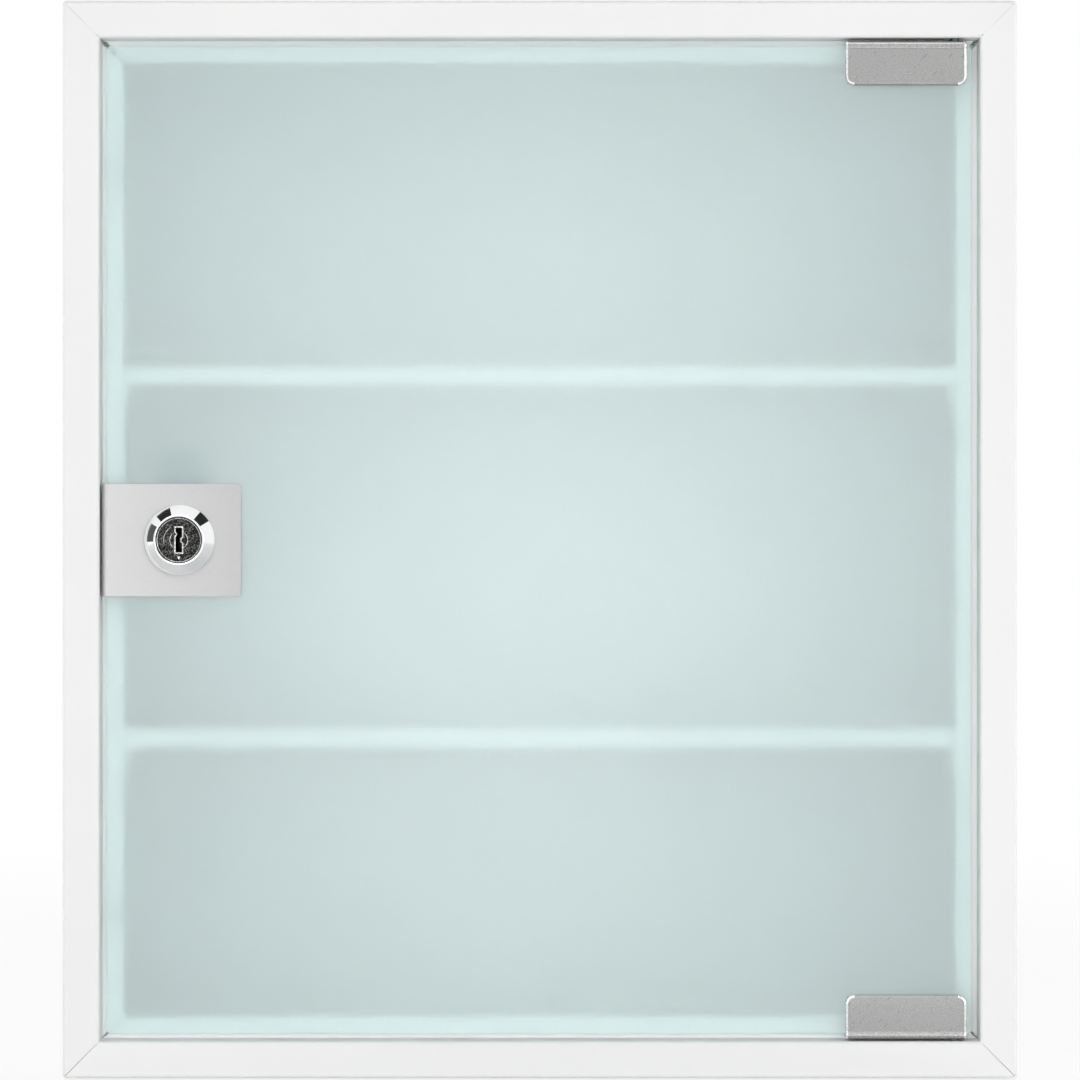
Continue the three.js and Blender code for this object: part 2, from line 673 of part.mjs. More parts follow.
function lockBarrel() {
  const bore = PLUG_BODY / 2 + PLUG_CLEARANCE;
  const faceBore = PLUG_FACE / 2 + PLUG_CLEARANCE;
  const faceBoreEnd = plugHeadEnd + PLUG_CLEARANCE;
  const radius = BARREL_DIAMETER / 2;
  const body = turned([
    [faceBore, -BEZEL_HEIGHT],
    [BEZEL_TOP_DIAMETER / 2, -BEZEL_HEIGHT],
    [BEZEL_DIAMETER / 2, -BEZEL_RIM],
    [BEZEL_DIAMETER / 2, -FIT],
    [radius, -FIT],
    [radius, barrelEnd],
    [bore, barrelEnd],
    [bore, faceBoreEnd],
    [faceBore, faceBoreEnd],
    [faceBore, -BEZEL_HEIGHT],
  ], LARGE_SIDES);
  const flats = [-1, 1].map((side) => {
    const edges = [(side * BARREL_FLATS) / 2, side * (radius + OVERCUT)].sort((a, b) => a - b);
    return alongY(rectangle(edges[0], -radius, edges[1], radius), -FIT, barrelEnd + OVERCUT);
  });
  return cut(body, ...flats);
}

function lockWasher() {
  const ring = circle(0, 0, WASHER_DIAMETER / 2, LARGE_SIDES);
  withHole(ring, circlePoints(0, 0, lockHole, LARGE_SIDES));
  return alongY(ring, washerStart, washerStart + WASHER_THICKNESS);
}

function lockNut() {
  const hexagon = circle(0, 0, NUT_CORNERS / 2, 6);
  withHole(hexagon, circlePoints(0, 0, lockHole, LARGE_SIDES));
  return alongY(hexagon, nutStart, nutEnd);
}

// The key slot: a narrow upright slot with a rib on each side.
function keyway() {
  const half = KEYWAY_WIDTH / 2;
  const top = KEYWAY_HEIGHT / 2;
  const rib = KEYWAY_WARD;
  return outline([
    [-half, -top],
    [half, -top],
    [half, -2 * rib],
    [half - rib, -rib],
    [half - rib, rib],
    [half, 2 * rib],
    [half, top],
    [-half, top],
    [-half, 5 * rib],
    [rib - half, 4 * rib],
    [rib - half, 3 * rib],
    [-half, 2 * rib],
  ]);
}

function waferPlace(index) {
  return plugHeadEnd + WAFER_START + index * WAFER_PITCH;
}

function lockPlug() {
  const face = PLUG_FACE / 2;
  const body = PLUG_BODY / 2;
  const barrel = turned([
    [0, plugFront + PLUG_DISH],
    [face - PLUG_RIM, plugFront + PLUG_DISH],
    [face - PLUG_RIM, plugFront],
    [face, plugFront],
    [face, plugHeadEnd],
    [body, plugHeadEnd],
    [body, plugShoulder],
    [0, plugShoulder],
  ], LARGE_SIDES);
  const half = TAIL_SQUARE / 2;
  const tail = alongY(rectangle(-half, -half, half, half), plugShoulder - OVERCUT, camEnd - TAIL_SHORT);
  const slot = alongY(keyway(), plugFront - OVERCUT, keywayEnd);
  const tap = alongY(circle(0, 0, CAM_SCREW_DIAMETER / 2 + FIT), tapEnd, camEnd + OVERCUT);
  const waferSlots = Array.from({ length: WAFER_COUNT }, (_, index) => {
    const side = WAFER_WIDTH / 2 + WAFER_CLEARANCE;
    const start = waferPlace(index) - WAFER_CLEARANCE;
    const end = waferPlace(index) + WAFER_THICKNESS + WAFER_CLEARANCE;
    return alongY(rectangle(-side, -body - OVERCUT, side, body + OVERCUT), start, end);
  });
  return cut(join(barrel, tail), slot, tap, ...waferSlots);
}

// A thin tumbler plate with a window for the key, drawn level with the plug's surface.
function wafer(index) {
  const side = WAFER_WIDTH / 2;
  const start = waferPlace(index);
  const end = start + WAFER_THICKNESS;
  const windowX = KEYWAY_WIDTH / 2 + WAFER_WINDOW_MARGIN;
  const windowZ = KEYWAY_HEIGHT / 2 + WAFER_WINDOW_MARGIN;
  const plate = withHole(rectangle(-side, -PLUG_BODY, side, PLUG_BODY), [
    [-windowX, -windowZ],
    [windowX, -windowZ],
    [windowX, windowZ],
    [-windowX, windowZ],
  ]);
  const plugRound = circle(0, 0, PLUG_BODY / 2 - WAFER_CLEARANCE, LARGE_SIDES);
  return keepInside(alongY(plate, start, end), alongY(plugRound, start - OVERCUT, end + OVERCUT));
}

// The lever that turns behind the stop lip; it points up while the door is unlocked.
function lockCam() {
  const half = CAM_WIDTH / 2;
  const shoulder = CAM_REACH - CAM_CORNER;
  const quarter = Math.PI / 2;
  const lever = new THREE.Shape();
  lever.absarc(0, 0, half, 2 * quarter, 4 * quarter);
  lever.absarc(half - CAM_CORNER, shoulder, CAM_CORNER, 0, quarter);
  lever.absarc(CAM_CORNER - half, shoulder, CAM_CORNER, quarter, 2 * quarter);
  const hole = TAIL_SQUARE / 2 + FIT;
  withHole(lever, [[-hole, -hole], [hole, -hole], [hole, hole], [-hole, hole]]);
  return alongY(lever, camStart, camEnd, 3 * CORNER_STEPS);
}

function camWasher() {
  const ring = circle(0, 0, CAM_WASHER_DIAMETER / 2);
  withHole(ring, circlePoints(0, 0, CAM_SCREW_DIAMETER / 2 + BARREL_CLEARANCE, SMALL_SIDES));
  return alongY(ring, camWasherStart, camWasherStart + CAM_WASHER_THICKNESS);
}

function camScrew() {
  const shank = CAM_SCREW_DIAMETER / 2;
  const head = CAM_SCREW_HEAD / 2;
  const headEnd = screwHeadStart + CAM_SCREW_HEAD_HEIGHT;
  return turned([
    [0, screwTip],
    [shank, screwTip],
    [shank, screwHeadStart],
    [head, screwHeadStart],
    [head, headEnd - CAM_SCREW_CHAMFER],
    [head - CAM_SCREW_CHAMFER, headEnd],
    [0, headEnd],
  ]);
}

// Assembly: the door hangs in the cabinet, and the lock core sits in the door

const cabinet = new THREE.Group();
const door = new THREE.Group();
const lock = new THREE.Group();
const lockCore = new THREE.Group();
cabinet.add(door);
door.add(lock);
lock.add(lockCore);
lock.position.set(lockX, bracketFront, lockZ);

addPiece(cabinet, "left_wall", sideWall(-1), "whitePaint");
addPiece(cabinet, "right_wall", sideWall(1), "whitePaint");
addPiece(cabinet, "top_wall", endWall(1), "whitePaint");
addPiece(cabinet, "bottom_wall", endWall(-1), "whitePaint");
addPiece(cabinet, "back_panel", backPanel(), "whitePaint");

const shelves = { lower: -outerZ + SHELF_HEIGHT, upper: -outerZ + SHELF_HEIGHT + SHELF_PITCH };
for (const [level, top] of Object.entries(shelves)) {
  addPiece(cabinet, `${level}_shelf`, shelf(top), "whitePaint");
  addPiece(cabinet, `${level}_left_bearer`, bearer(-1, top), "whitePaint");
  addPiece(cabinet, `${level}_right_bearer`, bearer(1, top), "whitePaint");
}

for (const [level, end] of [["upper", 1], ["lower", -1]]) {
  const pad = addPiece(cabinet, `${level}_bumper`, bumper(), "silicone");
  pad.position.set(bumperX, stopFront - FIT, end * (openingZ - BUMPER_INSET));
}

for (const [level, end] of [["top", 1], ["bottom", -1]]) {
  const bush = addPiece(cabinet, `${level}_pivot_bush`, pivotBush(), "nylon");
  bush.position.set(pivotX, pivotY, end * openingZ);
  bush.rotation.x = (end * Math.PI) / 2;
  addPiece(door, `${level}_hinge_clip`, hingeClip(end), "brushedSteel");
  addPiece(door, `${level}_clip_liner`, clipLiner(end), "liner");
  addPiece(door, `${level}_pivot_pin`, pivotPin(end), "zincPlate");
  addPiece(door, `${level}_clip_screw_left`, grubScrew(grubRow[0], end), "zincPlate");
  addPiece(door, `${level}_clip_screw_right`, grubScrew(grubRow[1], end), "zincPlate");
}

addPiece(door, "glass_pane", glassPane(), "frostedGlass");
addPiece(door, "lock_bracket", lockBracket(), "satinSteel");
addPiece(door, "lock_liner", lockLiner(), "liner");
addPiece(lock, "lock_barrel", lockBarrel(), "chrome");
addPiece(lock, "lock_washer", lockWasher(), "zincPlate");
addPiece(lock, "lock_nut", lockNut(), "zincPlate");
addPiece(lockCore, "lock_plug", lockPlug(), "darkNickel");
for (let index = 0; index < WAFER_COUNT; index += 1) {
  addPiece(lockCore, `lock_wafer_${index + 1}`, wafer(index), "zincPlate");
}
addPiece(lockCore, "lock_cam", lockCam(), "zincPlate");
addPiece(lockCore, "cam_washer", camWasher(), "zincPlate");
addPiece(lockCore, "cam_screw", camScrew(), "zincPlate");

export default cabinet;
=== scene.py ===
# %% [markdown]
# # A wall cabinet for medicines
# The cabinet is a white sheet-steel box with two shelves, a frosted glass door on pivot clips and a cam lock.
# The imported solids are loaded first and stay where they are. Each visible piece is then made again with rounded
# bends, broken edges and a finish, in the same frame: X right, Y into the wall, Z up, origin on the wall face.

# %% Load the solids
import bisect
import math

import bmesh
import bpy
from mathutils import Matrix, Vector
from mathutils.geometry import tessellate_polygon


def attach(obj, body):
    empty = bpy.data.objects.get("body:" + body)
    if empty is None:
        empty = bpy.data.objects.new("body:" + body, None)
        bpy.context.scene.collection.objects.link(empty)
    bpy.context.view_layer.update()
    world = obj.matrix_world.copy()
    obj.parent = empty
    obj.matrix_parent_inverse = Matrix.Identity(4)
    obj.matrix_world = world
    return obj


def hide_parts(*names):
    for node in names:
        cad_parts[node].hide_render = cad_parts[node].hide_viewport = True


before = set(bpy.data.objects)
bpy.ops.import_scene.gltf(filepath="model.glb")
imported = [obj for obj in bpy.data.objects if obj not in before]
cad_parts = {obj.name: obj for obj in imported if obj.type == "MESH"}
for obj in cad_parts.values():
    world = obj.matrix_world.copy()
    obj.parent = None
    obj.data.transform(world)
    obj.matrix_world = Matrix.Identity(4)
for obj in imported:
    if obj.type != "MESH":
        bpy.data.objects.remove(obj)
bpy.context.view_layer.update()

# %% [markdown]
# ## Finishes
# A finish could be one colour, but even plain powder coat has an orange-peel skin and a little change of gloss.
# Each finish here is one Principled shader. Noise in object coordinates, so at a true size in metres, feeds its
# colour, roughness and bump. What is the same all over the surface stays on the shader's own sockets.

# %% Start a finish
def start_finish(name, slot, **sockets):
    """A finish with one shader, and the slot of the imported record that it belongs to."""
    material = bpy.data.materials.new(name)
    material["slot"] = slot
    material.use_nodes = True
    shader = material.node_tree.nodes["Principled BSDF"]
    for socket, value in sockets.items():
        shader.inputs[socket.replace("_", " ")].default_value = value
    return material


def grain(material, scale, stretch=(1, 1, 1), detail=2.0):
    """Noise with a given number of cells in a metre, stretched along each axis."""
    nodes, links = material.node_tree.nodes, material.node_tree.links
    place = nodes.new("ShaderNodeTexCoord")
    mapping = nodes.new("ShaderNodeMapping")
    mapping.inputs["Scale"].default_value = [scale * s for s in stretch]
    noise = nodes.new("ShaderNodeTexNoise")
    noise.inputs["Scale"].default_value = 1.0
    noise.inputs["Detail"].default_value = detail
    links.new(place.outputs["Object"], mapping.inputs["Vector"])
    links.new(mapping.outputs["Vector"], noise.inputs["Vector"])
    return noise.outputs["Fac"]


# %% Colour, gloss and bump
NOISE_LOW, NOISE_HIGH = 0.3, 0.7


def remap(tree, value, start=0.0, end=1.0, low=0.0, high=1.0):
    """A value brought from one range to another."""
    node = tree.nodes.new("ShaderNodeMapRange")
    sockets = ("From Min", "From Max", "To Min", "To Max")
    for socket, number in zip(sockets, (start, end, low, high)):
        node.inputs[socket].default_value = number
    tree.links.new(value, node.inputs["Value"])
    return node.outputs["Result"]


def colour_between(material, pattern, dark, light, start=NOISE_LOW, end=NOISE_HIGH):
    """Colour that follows a pattern, dark up to one value of it and light from another."""
    nodes, links = material.node_tree.nodes, material.node_tree.links
    ramp = nodes.new("ShaderNodeValToRGB")
    ramp.color_ramp.elements[0].position = start
    ramp.color_ramp.elements[0].color = (*dark, 1)
    ramp.color_ramp.elements[1].position = end
    ramp.color_ramp.elements[1].color = (*light, 1)
    links.new(pattern, ramp.inputs["Fac"])
    links.new(ramp.outputs["Color"], nodes["Principled BSDF"].inputs["Base Color"])


def roughness_between(material, pattern, smooth, rough):
    """Roughness that follows a pattern."""
    tree = material.node_tree
    roughness = remap(tree, pattern, NOISE_LOW, NOISE_HIGH, smooth, rough)
    tree.links.new(roughness, tree.nodes["Principled BSDF"].inputs["Roughness"])


def bump_with(material, pattern, depth, strength):
    """A skin whose height follows a pattern, with its depth in metres."""
    nodes, links = material.node_tree.nodes, material.node_tree.links
    bump = nodes.new("ShaderNodeBump")
    bump.inputs["Distance"].default_value = depth
    bump.inputs["Strength"].default_value = strength
    links.new(pattern, bump.inputs["Height"])
    links.new(bump.outputs["Normal"], nodes["Principled BSDF"].inputs["Normal"])


def plain_finish(name, slot, tone, gloss, detail=2.0, **sockets):
    """A finish whose colour and roughness each follow a grain of their own: (cells in a metre, from, to)."""
    material = start_finish(name, slot, **sockets)
    colour_between(material, grain(material, tone[0], detail=detail), *tone[1:])
    roughness_between(material, grain(material, gloss[0]), *gloss[1:])
    return material


# %% [markdown]
# ### Paint and plastics
# The body is powder coated: a satin white with a fine orange peel about a millimetre across. The pivot bushes are
# white nylon, the liners clear vinyl and the door bumpers clear silicone, all slightly cloudy.

# %% Paint and plastics
white_paint = plain_finish(
    "powder_white", "white_paint",
    tone=(14, (0.855, 0.857, 0.853), (0.875, 0.875, 0.872)), gloss=(60, 0.42, 0.52),
)
bump_with(white_paint, grain(white_paint, 900, detail=1.0), 0.00003, 0.35)

white_nylon = plain_finish(
    "moulded_nylon", "white_nylon",
    tone=(300, (0.74, 0.73, 0.70), (0.82, 0.81, 0.78)), gloss=(900, 0.40, 0.55),
)
clear_liner = plain_finish(
    "cloudy_vinyl", "clear_liner",
    tone=(250, (0.70, 0.72, 0.70), (0.80, 0.82, 0.80)), gloss=(700, 0.35, 0.50),
    Transmission_Weight=0.5, IOR=1.52,
)
clear_silicone = plain_finish(
    "milky_silicone", "clear_silicone",
    tone=(400, (0.82, 0.84, 0.84), (0.92, 0.93, 0.93)), gloss=(1200, 0.25, 0.40),
    Transmission_Weight=0.15, IOR=1.41,
)
print("finishes:", [m.name for m in (white_paint, white_nylon, clear_liner, clear_silicone)])

# %% [markdown]
# ### Frosted glass
# The door is float glass with an etched satin face. Etching spreads the light by some ten degrees, so what lies
# close behind the door stays readable and what lies deep behind it melts away. A rough transmission does just
# that. A small share of the light never gets through and comes back white, as from a mist. The ground edges look
# down the length of the pane and so are a deeper green. Light that the frost catches runs on inside the pane and
# leaves at its outermost edge. Following it there would take very long paths, so a weak emission paints that glow on
# the outermost faces. It is painted light, and it also brightens the shaded gap between the pane and the frame.

# %% Frosted glass
GLASS_IOR = 1.5
EDGE_GLOSS = (2500, 0.45, 0.65)

frosted_glass = start_finish("etched_glass", "frosted_glass", Transmission_Weight=0.80, IOR=GLASS_IOR)
colour_between(frosted_glass, grain(frosted_glass, 9), (0.855, 0.965, 0.960), (0.875, 0.985, 0.980))
roughness_between(frosted_glass, grain(frosted_glass, 1800, detail=3.0), 0.40, 0.47)

ground_edge = plain_finish(
    "ground_edge", "frosted_glass",
    tone=(120, (0.80, 0.91, 0.90), (0.88, 0.96, 0.95)), gloss=EDGE_GLOSS,
    Transmission_Weight=0.7, IOR=GLASS_IOR,
)
# Painted light: the emission makes this edge glow though it is no lamp, and lifts the shaded gap round the pane.
painted_glow_edge = plain_finish(
    "painted_glow_edge", "frosted_glass",
    tone=(120, (0.38, 0.60, 0.57), (0.48, 0.68, 0.65)), gloss=EDGE_GLOSS,
    Transmission_Weight=0.3, IOR=GLASS_IOR, Emission_Strength=0.38, Emission_Color=(0.92, 0.96, 0.95, 1),
)
print("glass finishes:", [m.name for m in (frosted_glass, ground_edge, painted_glow_edge)])

# %% [markdown]
# ### Steel of the clips
# The hinge clips are tumbled steel: a dull grey with a fine close grain and a few light scratches. The sheet is
# smoother where it is rolled over, and burnished along its rim. One metal all over would look cast, so a clip gets
# three finishes of the same steel. The scratches are the highest crests of a noise that is stretched one way.

# %% Scratches
SCRATCH_FROM, SCRATCH_FULL = 0.79, 0.82


def scratch_with(material, length, width, tilt, tint):
    """Sparse fine lines of a length and width in metres, tilted in the front view, that tint the colour."""
    nodes, links = material.node_tree.nodes, material.node_tree.links
    place = nodes.new("ShaderNodeTexCoord")
    mapping = nodes.new("ShaderNodeMapping")
    mapping.vector_type = "TEXTURE"
    mapping.inputs["Rotation"].default_value = (0, tilt, 0)
    mapping.inputs["Scale"].default_value = (length, length, width)
    noise = nodes.new("ShaderNodeTexNoise")
    noise.inputs["Scale"].default_value = 1.0
    noise.inputs["Detail"].default_value = 0.0
    lines = nodes.new("ShaderNodeValToRGB")
    lines.color_ramp.elements[0].position = SCRATCH_FROM
    lines.color_ramp.elements[0].color = (1, 1, 1, 1)
    lines.color_ramp.elements[1].position = SCRATCH_FULL
    lines.color_ramp.elements[1].color = (tint, tint, tint, 1)
    tinted = nodes.new("ShaderNodeMixRGB")
    tinted.blend_type = "MULTIPLY"
    tinted.inputs["Fac"].default_value = 1.0
    colour = nodes["Principled BSDF"].inputs["Base Color"]
    links.new(place.outputs["Object"], mapping.inputs["Vector"])
    links.new(mapping.outputs["Vector"], noise.inputs["Vector"])
    links.new(noise.outputs["Fac"], lines.inputs["Fac"])
    links.new(colour.links[0].from_socket, tinted.inputs["Color1"])
    links.new(lines.outputs["Color"], tinted.inputs["Color2"])
    links.new(tinted.outputs["Color"], colour)


# %% Steel
tumbled_steel = start_finish("tumbled_steel", "brushed_steel", Metallic=1.0)
steel_grain = grain(tumbled_steel, 3200, stretch=(0.8, 1, 1), detail=5.0)
colour_between(tumbled_steel, steel_grain, (0.26, 0.26, 0.26), (0.50, 0.50, 0.495), 0.22, 0.78)
roughness_between(tumbled_steel, grain(tumbled_steel, 500, detail=3.0), 0.30, 0.42)
bump_with(tumbled_steel, steel_grain, 0.00002, 0.5)
scratch_with(tumbled_steel, 0.0025, 0.00025, math.radians(-50), 0.6)

burnished_steel = plain_finish(
    "burnished_steel", "brushed_steel", detail=3.0, Metallic=1.0,
    tone=(1500, (0.72, 0.72, 0.715), (0.95, 0.95, 0.945)), gloss=(700, 0.16, 0.28),
)
rolled_steel = plain_finish(
    "rolled_steel", "brushed_steel", detail=4.0, Metallic=1.0,
    tone=(2400, (0.32, 0.32, 0.315), (0.52, 0.52, 0.515)), gloss=(600, 0.26, 0.36),
)
print("steels:", [m.name for m in (tumbled_steel, burnished_steel, rolled_steel)])

# %% [markdown]
# ### Lock plate and bezel
# The lock plate is satin aluminium, paler than the clips. Its colour is painted lighter towards its fold, a painted
# light gradient, so its grain is mixed with a slow drift along the plate. It is set only half metallic, because a pure
# metal shows no soft shadow of the bezel that stands on it. Its bend was stretched smooth by the rolling and is bright
# metal. The bezel is polished chrome.

# %% Aluminium and chrome
def painted_light_drift(material, pattern, share, start, end):
    """The pattern mixed with a slow drift along X, from 0 at one place to 1 at another, in metres: a painted light
    gradient.
    """
    tree = material.node_tree
    place = tree.nodes.new("ShaderNodeTexCoord")
    split = tree.nodes.new("ShaderNodeSeparateXYZ")
    tree.links.new(place.outputs["Object"], split.inputs["Vector"])
    mix = tree.nodes.new("ShaderNodeMixRGB")
    mix.inputs["Fac"].default_value = share
    tree.links.new(pattern, mix.inputs["Color1"])
    tree.links.new(remap(tree, split.outputs["X"], start, end), mix.inputs["Color2"])
    return mix.outputs["Color"]


satin_aluminium = start_finish("satin_aluminium", "satin_steel", Metallic=0.5)
satin_grain = grain(satin_aluminium, 3000, stretch=(0.15, 1, 1), detail=3.0)
# Painted light: the drift makes the plate's colour lighter towards the fold on the left.
satin_grain_and_painted_light = painted_light_drift(satin_aluminium, satin_grain, 0.65, -0.097, -0.142)
colour_between(satin_aluminium, satin_grain_and_painted_light, (0.53, 0.53, 0.53), (0.68, 0.68, 0.68), 0.1, 0.9)
roughness_between(satin_aluminium, grain(satin_aluminium, 80), 0.44, 0.50)
bump_with(satin_aluminium, satin_grain, 0.000004, 0.4)

rolled_aluminium = start_finish("rolled_aluminium", "satin_steel", Metallic=1.0)
rolled_grain = grain(rolled_aluminium, 3000, stretch=(1, 1, 0.06))
colour_between(rolled_aluminium, rolled_grain, (0.60, 0.60, 0.60), (0.72, 0.72, 0.72))
roughness_between(rolled_aluminium, grain(rolled_aluminium, 200), 0.20, 0.26)

polished_chrome = start_finish("bright_chrome", "polished_chrome", Metallic=1.0)
colour_between(polished_chrome, grain(polished_chrome, 90), (0.86, 0.87, 0.88), (0.92, 0.925, 0.93))
roughness_between(polished_chrome, grain(polished_chrome, 350, detail=4.0), 0.03, 0.07)
print("bright metals:", [m.name for m in (satin_aluminium, rolled_aluminium, polished_chrome)])

# %% [markdown]
# ### Core and small hardware
# The lock's core is dark die-cast nickel with a mottled skin, worn bright along every raised edge. The small hardware
# is zinc plated, darker on the cam and the pins. The wafers are painted nearly black, as painted shade for the depth
# of the key slot. Wear could be painted by how sharp an edge is, but here the worn edges are pieces of their own, so
# each simply takes the bright finish.

# %% Nickel and zinc
dark_nickel = start_finish("cast_nickel", "dark_nickel", Metallic=1.0)
cast_skin = grain(dark_nickel, 2000, detail=4.0)
colour_between(dark_nickel, cast_skin, (0.012, 0.012, 0.011), (0.26, 0.257, 0.25), 0.45, 0.82)
roughness_between(dark_nickel, grain(dark_nickel, 1500), 0.28, 0.45)
bump_with(dark_nickel, cast_skin, 0.00006, 0.7)

worn_nickel = start_finish("worn_nickel", "dark_nickel", Metallic=1.0)
worn_skin = grain(worn_nickel, 1400, detail=3.0)
colour_between(worn_nickel, worn_skin, (0.34, 0.335, 0.325), (0.86, 0.855, 0.84), 0.34, 0.60)
roughness_between(worn_nickel, grain(worn_nickel, 900), 0.16, 0.32)
bump_with(worn_nickel, worn_skin, 0.00003, 0.5)

zinc_plate = plain_finish(
    "dull_zinc", "zinc_plate", detail=3.0, Metallic=1.0,
    tone=(700, (0.52, 0.54, 0.57), (0.70, 0.71, 0.72)), gloss=(1500, 0.25, 0.40),
)
dark_zinc = plain_finish(
    "dark_zinc", "zinc_plate", detail=3.0, Metallic=1.0,
    tone=(500, (0.08, 0.115, 0.125), (0.15, 0.185, 0.195)), gloss=(1200, 0.40, 0.52),
)
# Painted shade: the wafers' near-black colour stands for the dark depth of the key slot.
painted_shade_zinc = plain_finish(
    "painted_shade_zinc", "zinc_plate", detail=3.0, Metallic=1.0,
    tone=(900, (0.015, 0.015, 0.014), (0.06, 0.058, 0.052)), gloss=(1200, 0.45, 0.60),
)
print("lock metals:", [m.name for m in (dark_nickel, worn_nickel, zinc_plate, dark_zinc, painted_shade_zinc)])

# %% [markdown]
# ## Tools of the workshop
# Nearly every piece here is either folded sheet, flat plate or turned stock, so three small helpers make them
# all. A folded sheet is drawn as its mid line with round bends; a Solidify modifier then gives it its thickness
# and a Bevel breaks its cut edges. Plates and turned pieces get their rounded edges point by point. All drawing
# is in millimetres, and a piece is brought to metres when it is placed.

# %% Lines and loops
MM = 0.001
ARC_STEPS, ROUND_SIDES, SMALL_SIDES = 6, 64, 32
SHARP_LIMIT = 0.4


def rounded_line(points, radius, steps=ARC_STEPS):
    """A line through 2-D points with an arc at each inner corner."""
    line = [Vector(points[0])]
    for before, corner, after in zip(points, points[1:], points[2:]):
        before, corner, after = Vector(before), Vector(corner), Vector(after)
        arriving = (corner - before).normalized()
        leaving = (after - corner).normalized()
        turn = math.atan2(arriving.cross(leaving), arriving.dot(leaving))
        start = corner - arriving * radius * math.tan(abs(turn) / 2)
        side = Vector((-arriving.y, arriving.x)) * math.copysign(radius, turn)
        for step in range(steps + 1):
            line.append(start + side + Matrix.Rotation(turn * step / steps, 2) @ -side)
    return line + [Vector(points[-1])]


def circle_loop(radius, x=0.0, z=0.0, sides=ROUND_SIDES):
    """A closed loop round a point, anticlockwise."""
    angles = [2 * math.pi * side / sides for side in range(sides)]
    return [Vector((x + radius * math.cos(a), z + radius * math.sin(a))) for a in angles]


def rounded_loop(corners, radius, steps=ARC_STEPS):
    """A closed loop through 2-D corners, each rounded; the corners run anticlockwise."""
    closed = [corners[-1], *corners, corners[0]]
    return rounded_line(closed, radius, steps)[1:-1]


def box_corners(left, bottom, right, top):
    """The corners of a rectangle, anticlockwise."""
    return [(left, bottom), (right, bottom), (right, top), (left, top)]


def inset_loop(loop, distance):
    """The loop moved to its left by a distance; a very sharp corner moves less far than its sides ask."""
    moved = []
    for before, point, after in zip(loop[-1:] + loop[:-1], loop, loop[1:] + loop[:1]):
        arriving, leaving = (point - before).normalized(), (after - point).normalized()
        left = Vector((-arriving.y, arriving.x))
        middle = (left + Vector((-leaving.y, leaving.x))).normalized()
        moved.append(point + middle * distance / max(SHARP_LIMIT, middle.dot(left)))
    return moved


# %% Sheets, plates and turned pieces
def add_grid(bm, rows, closed=False):
    """Faces between rows of 3-D points; a row may close on itself."""
    made = [[bm.verts.new(point) for point in row] for row in rows]
    for row, after in zip(made, made[1:]):
        count = len(row)
        for i in range(count if closed else count - 1):
            j = (i + 1) % count
            bm.faces.new((row[i], row[j], after[j], after[i]))
    return made


def fill_loops(bm, loops):
    """A flat face inside the first loop of vertices and outside the others."""
    vertices = [vertex for loop in loops for vertex in loop]
    for triangle in tessellate_polygon([[vertex.co for vertex in loop] for loop in loops]):
        bm.faces.new([vertices[i] for i in triangle])


def add_plate(bm, loops, front, back, edges, steps=3):
    """A plate in X and Z between two Y planes; each loop's edge is rounded. Holes run clockwise."""
    turns = [math.pi / 2 * step / steps for step in range(steps + 1)]
    rounding = [(1 - math.sin(t), 1 - math.cos(t)) for t in turns]
    levels = [(inset, front, depth) for inset, depth in rounding]
    levels += [(inset, back, -depth) for inset, depth in reversed(rounding)]
    faces = [[], []]
    for loop, edge in zip(loops, edges):
        rows = []
        for inset, plane, depth in levels:
            moved = inset_loop(loop, inset * edge)
            rows.append([(p.x, plane + depth * edge, p.y) for p in moved])
        rings = add_grid(bm, rows, closed=True)
        faces[0].append(rings[0])
        faces[1].append(rings[-1])
    for rings in faces:
        fill_loops(bm, rings)


def add_turned(bm, profile, place, sides=ROUND_SIDES):
    """A profile of (radius, along) turned round an axis; place puts (across, up, along) into the frame."""
    angles = [2 * math.pi * side / sides for side in range(sides)]
    rows = [[place(r * math.cos(a), r * math.sin(a), along) for a in angles] for r, along in profile]
    add_grid(bm, rows, closed=True)


# %% Placing a finished piece
WELD = 0.0005
BREAK_STEPS, BREAK_ANGLE = 3, math.radians(50)


def put_in_scene(name, data):
    """An object that holds a mesh, a lamp or the camera."""
    holder = bpy.data.objects.new(name, data)
    bpy.context.scene.collection.objects.link(holder)
    return holder


def finished_mesh(name, bm, finish):
    """The drawn mesh as Blender keeps it, with its first finish."""
    mesh = bpy.data.meshes.new(name)
    bm.to_mesh(mesh)
    bm.free()
    mesh.materials.append(finish)
    return mesh


def make_piece(name, bm, body, finish, stands_for, sheet=0.0, edge=0.0):
    """Welds the mesh, brings it to metres and lets it ride on its body in place of the solids it stands for."""
    bmesh.ops.remove_doubles(bm, verts=bm.verts, dist=WELD)
    bmesh.ops.recalc_face_normals(bm, faces=bm.faces)
    bmesh.ops.scale(bm, vec=(MM, MM, MM), verts=bm.verts)
    mesh = finished_mesh(name, bm, finish)
    mesh.shade_smooth()
    piece = put_in_scene(name, mesh)
    if sheet:
        thickness = piece.modifiers.new("sheet", "SOLIDIFY")
        thickness.thickness = sheet * MM
        thickness.offset = 0.0
        thickness.use_even_offset = True
    if edge:
        broken = piece.modifiers.new("broken_edges", "BEVEL")
        broken.width = edge * MM
        broken.segments = BREAK_STEPS
        broken.limit_method = "ANGLE"
        broken.angle_limit = BREAK_ANGLE
    piece.modifiers.new("flat_faces", "WEIGHTED_NORMAL").keep_sharp = True
    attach(piece, body)
    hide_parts(*stands_for)
    print(f"{name}: {len(mesh.vertices)} points, for {', '.join(stands_for)}")
    return piece


# %% [markdown]
# ## The body
# Each side of the box is one folded channel: rear flange, outer wall, front frame, a return beside the door and a
# stop lip behind it. It could be four extruded bars, but real corners are what one looks at: the outer walls run
# round a small bend without a seam, while the front frame meets in hairline mitres with a bend relief at the
# outer corner and a wider gap between the lips. So one section is swept along each side, its ends set back by a
# different amount on each stretch, and the corner bends join the four sides.

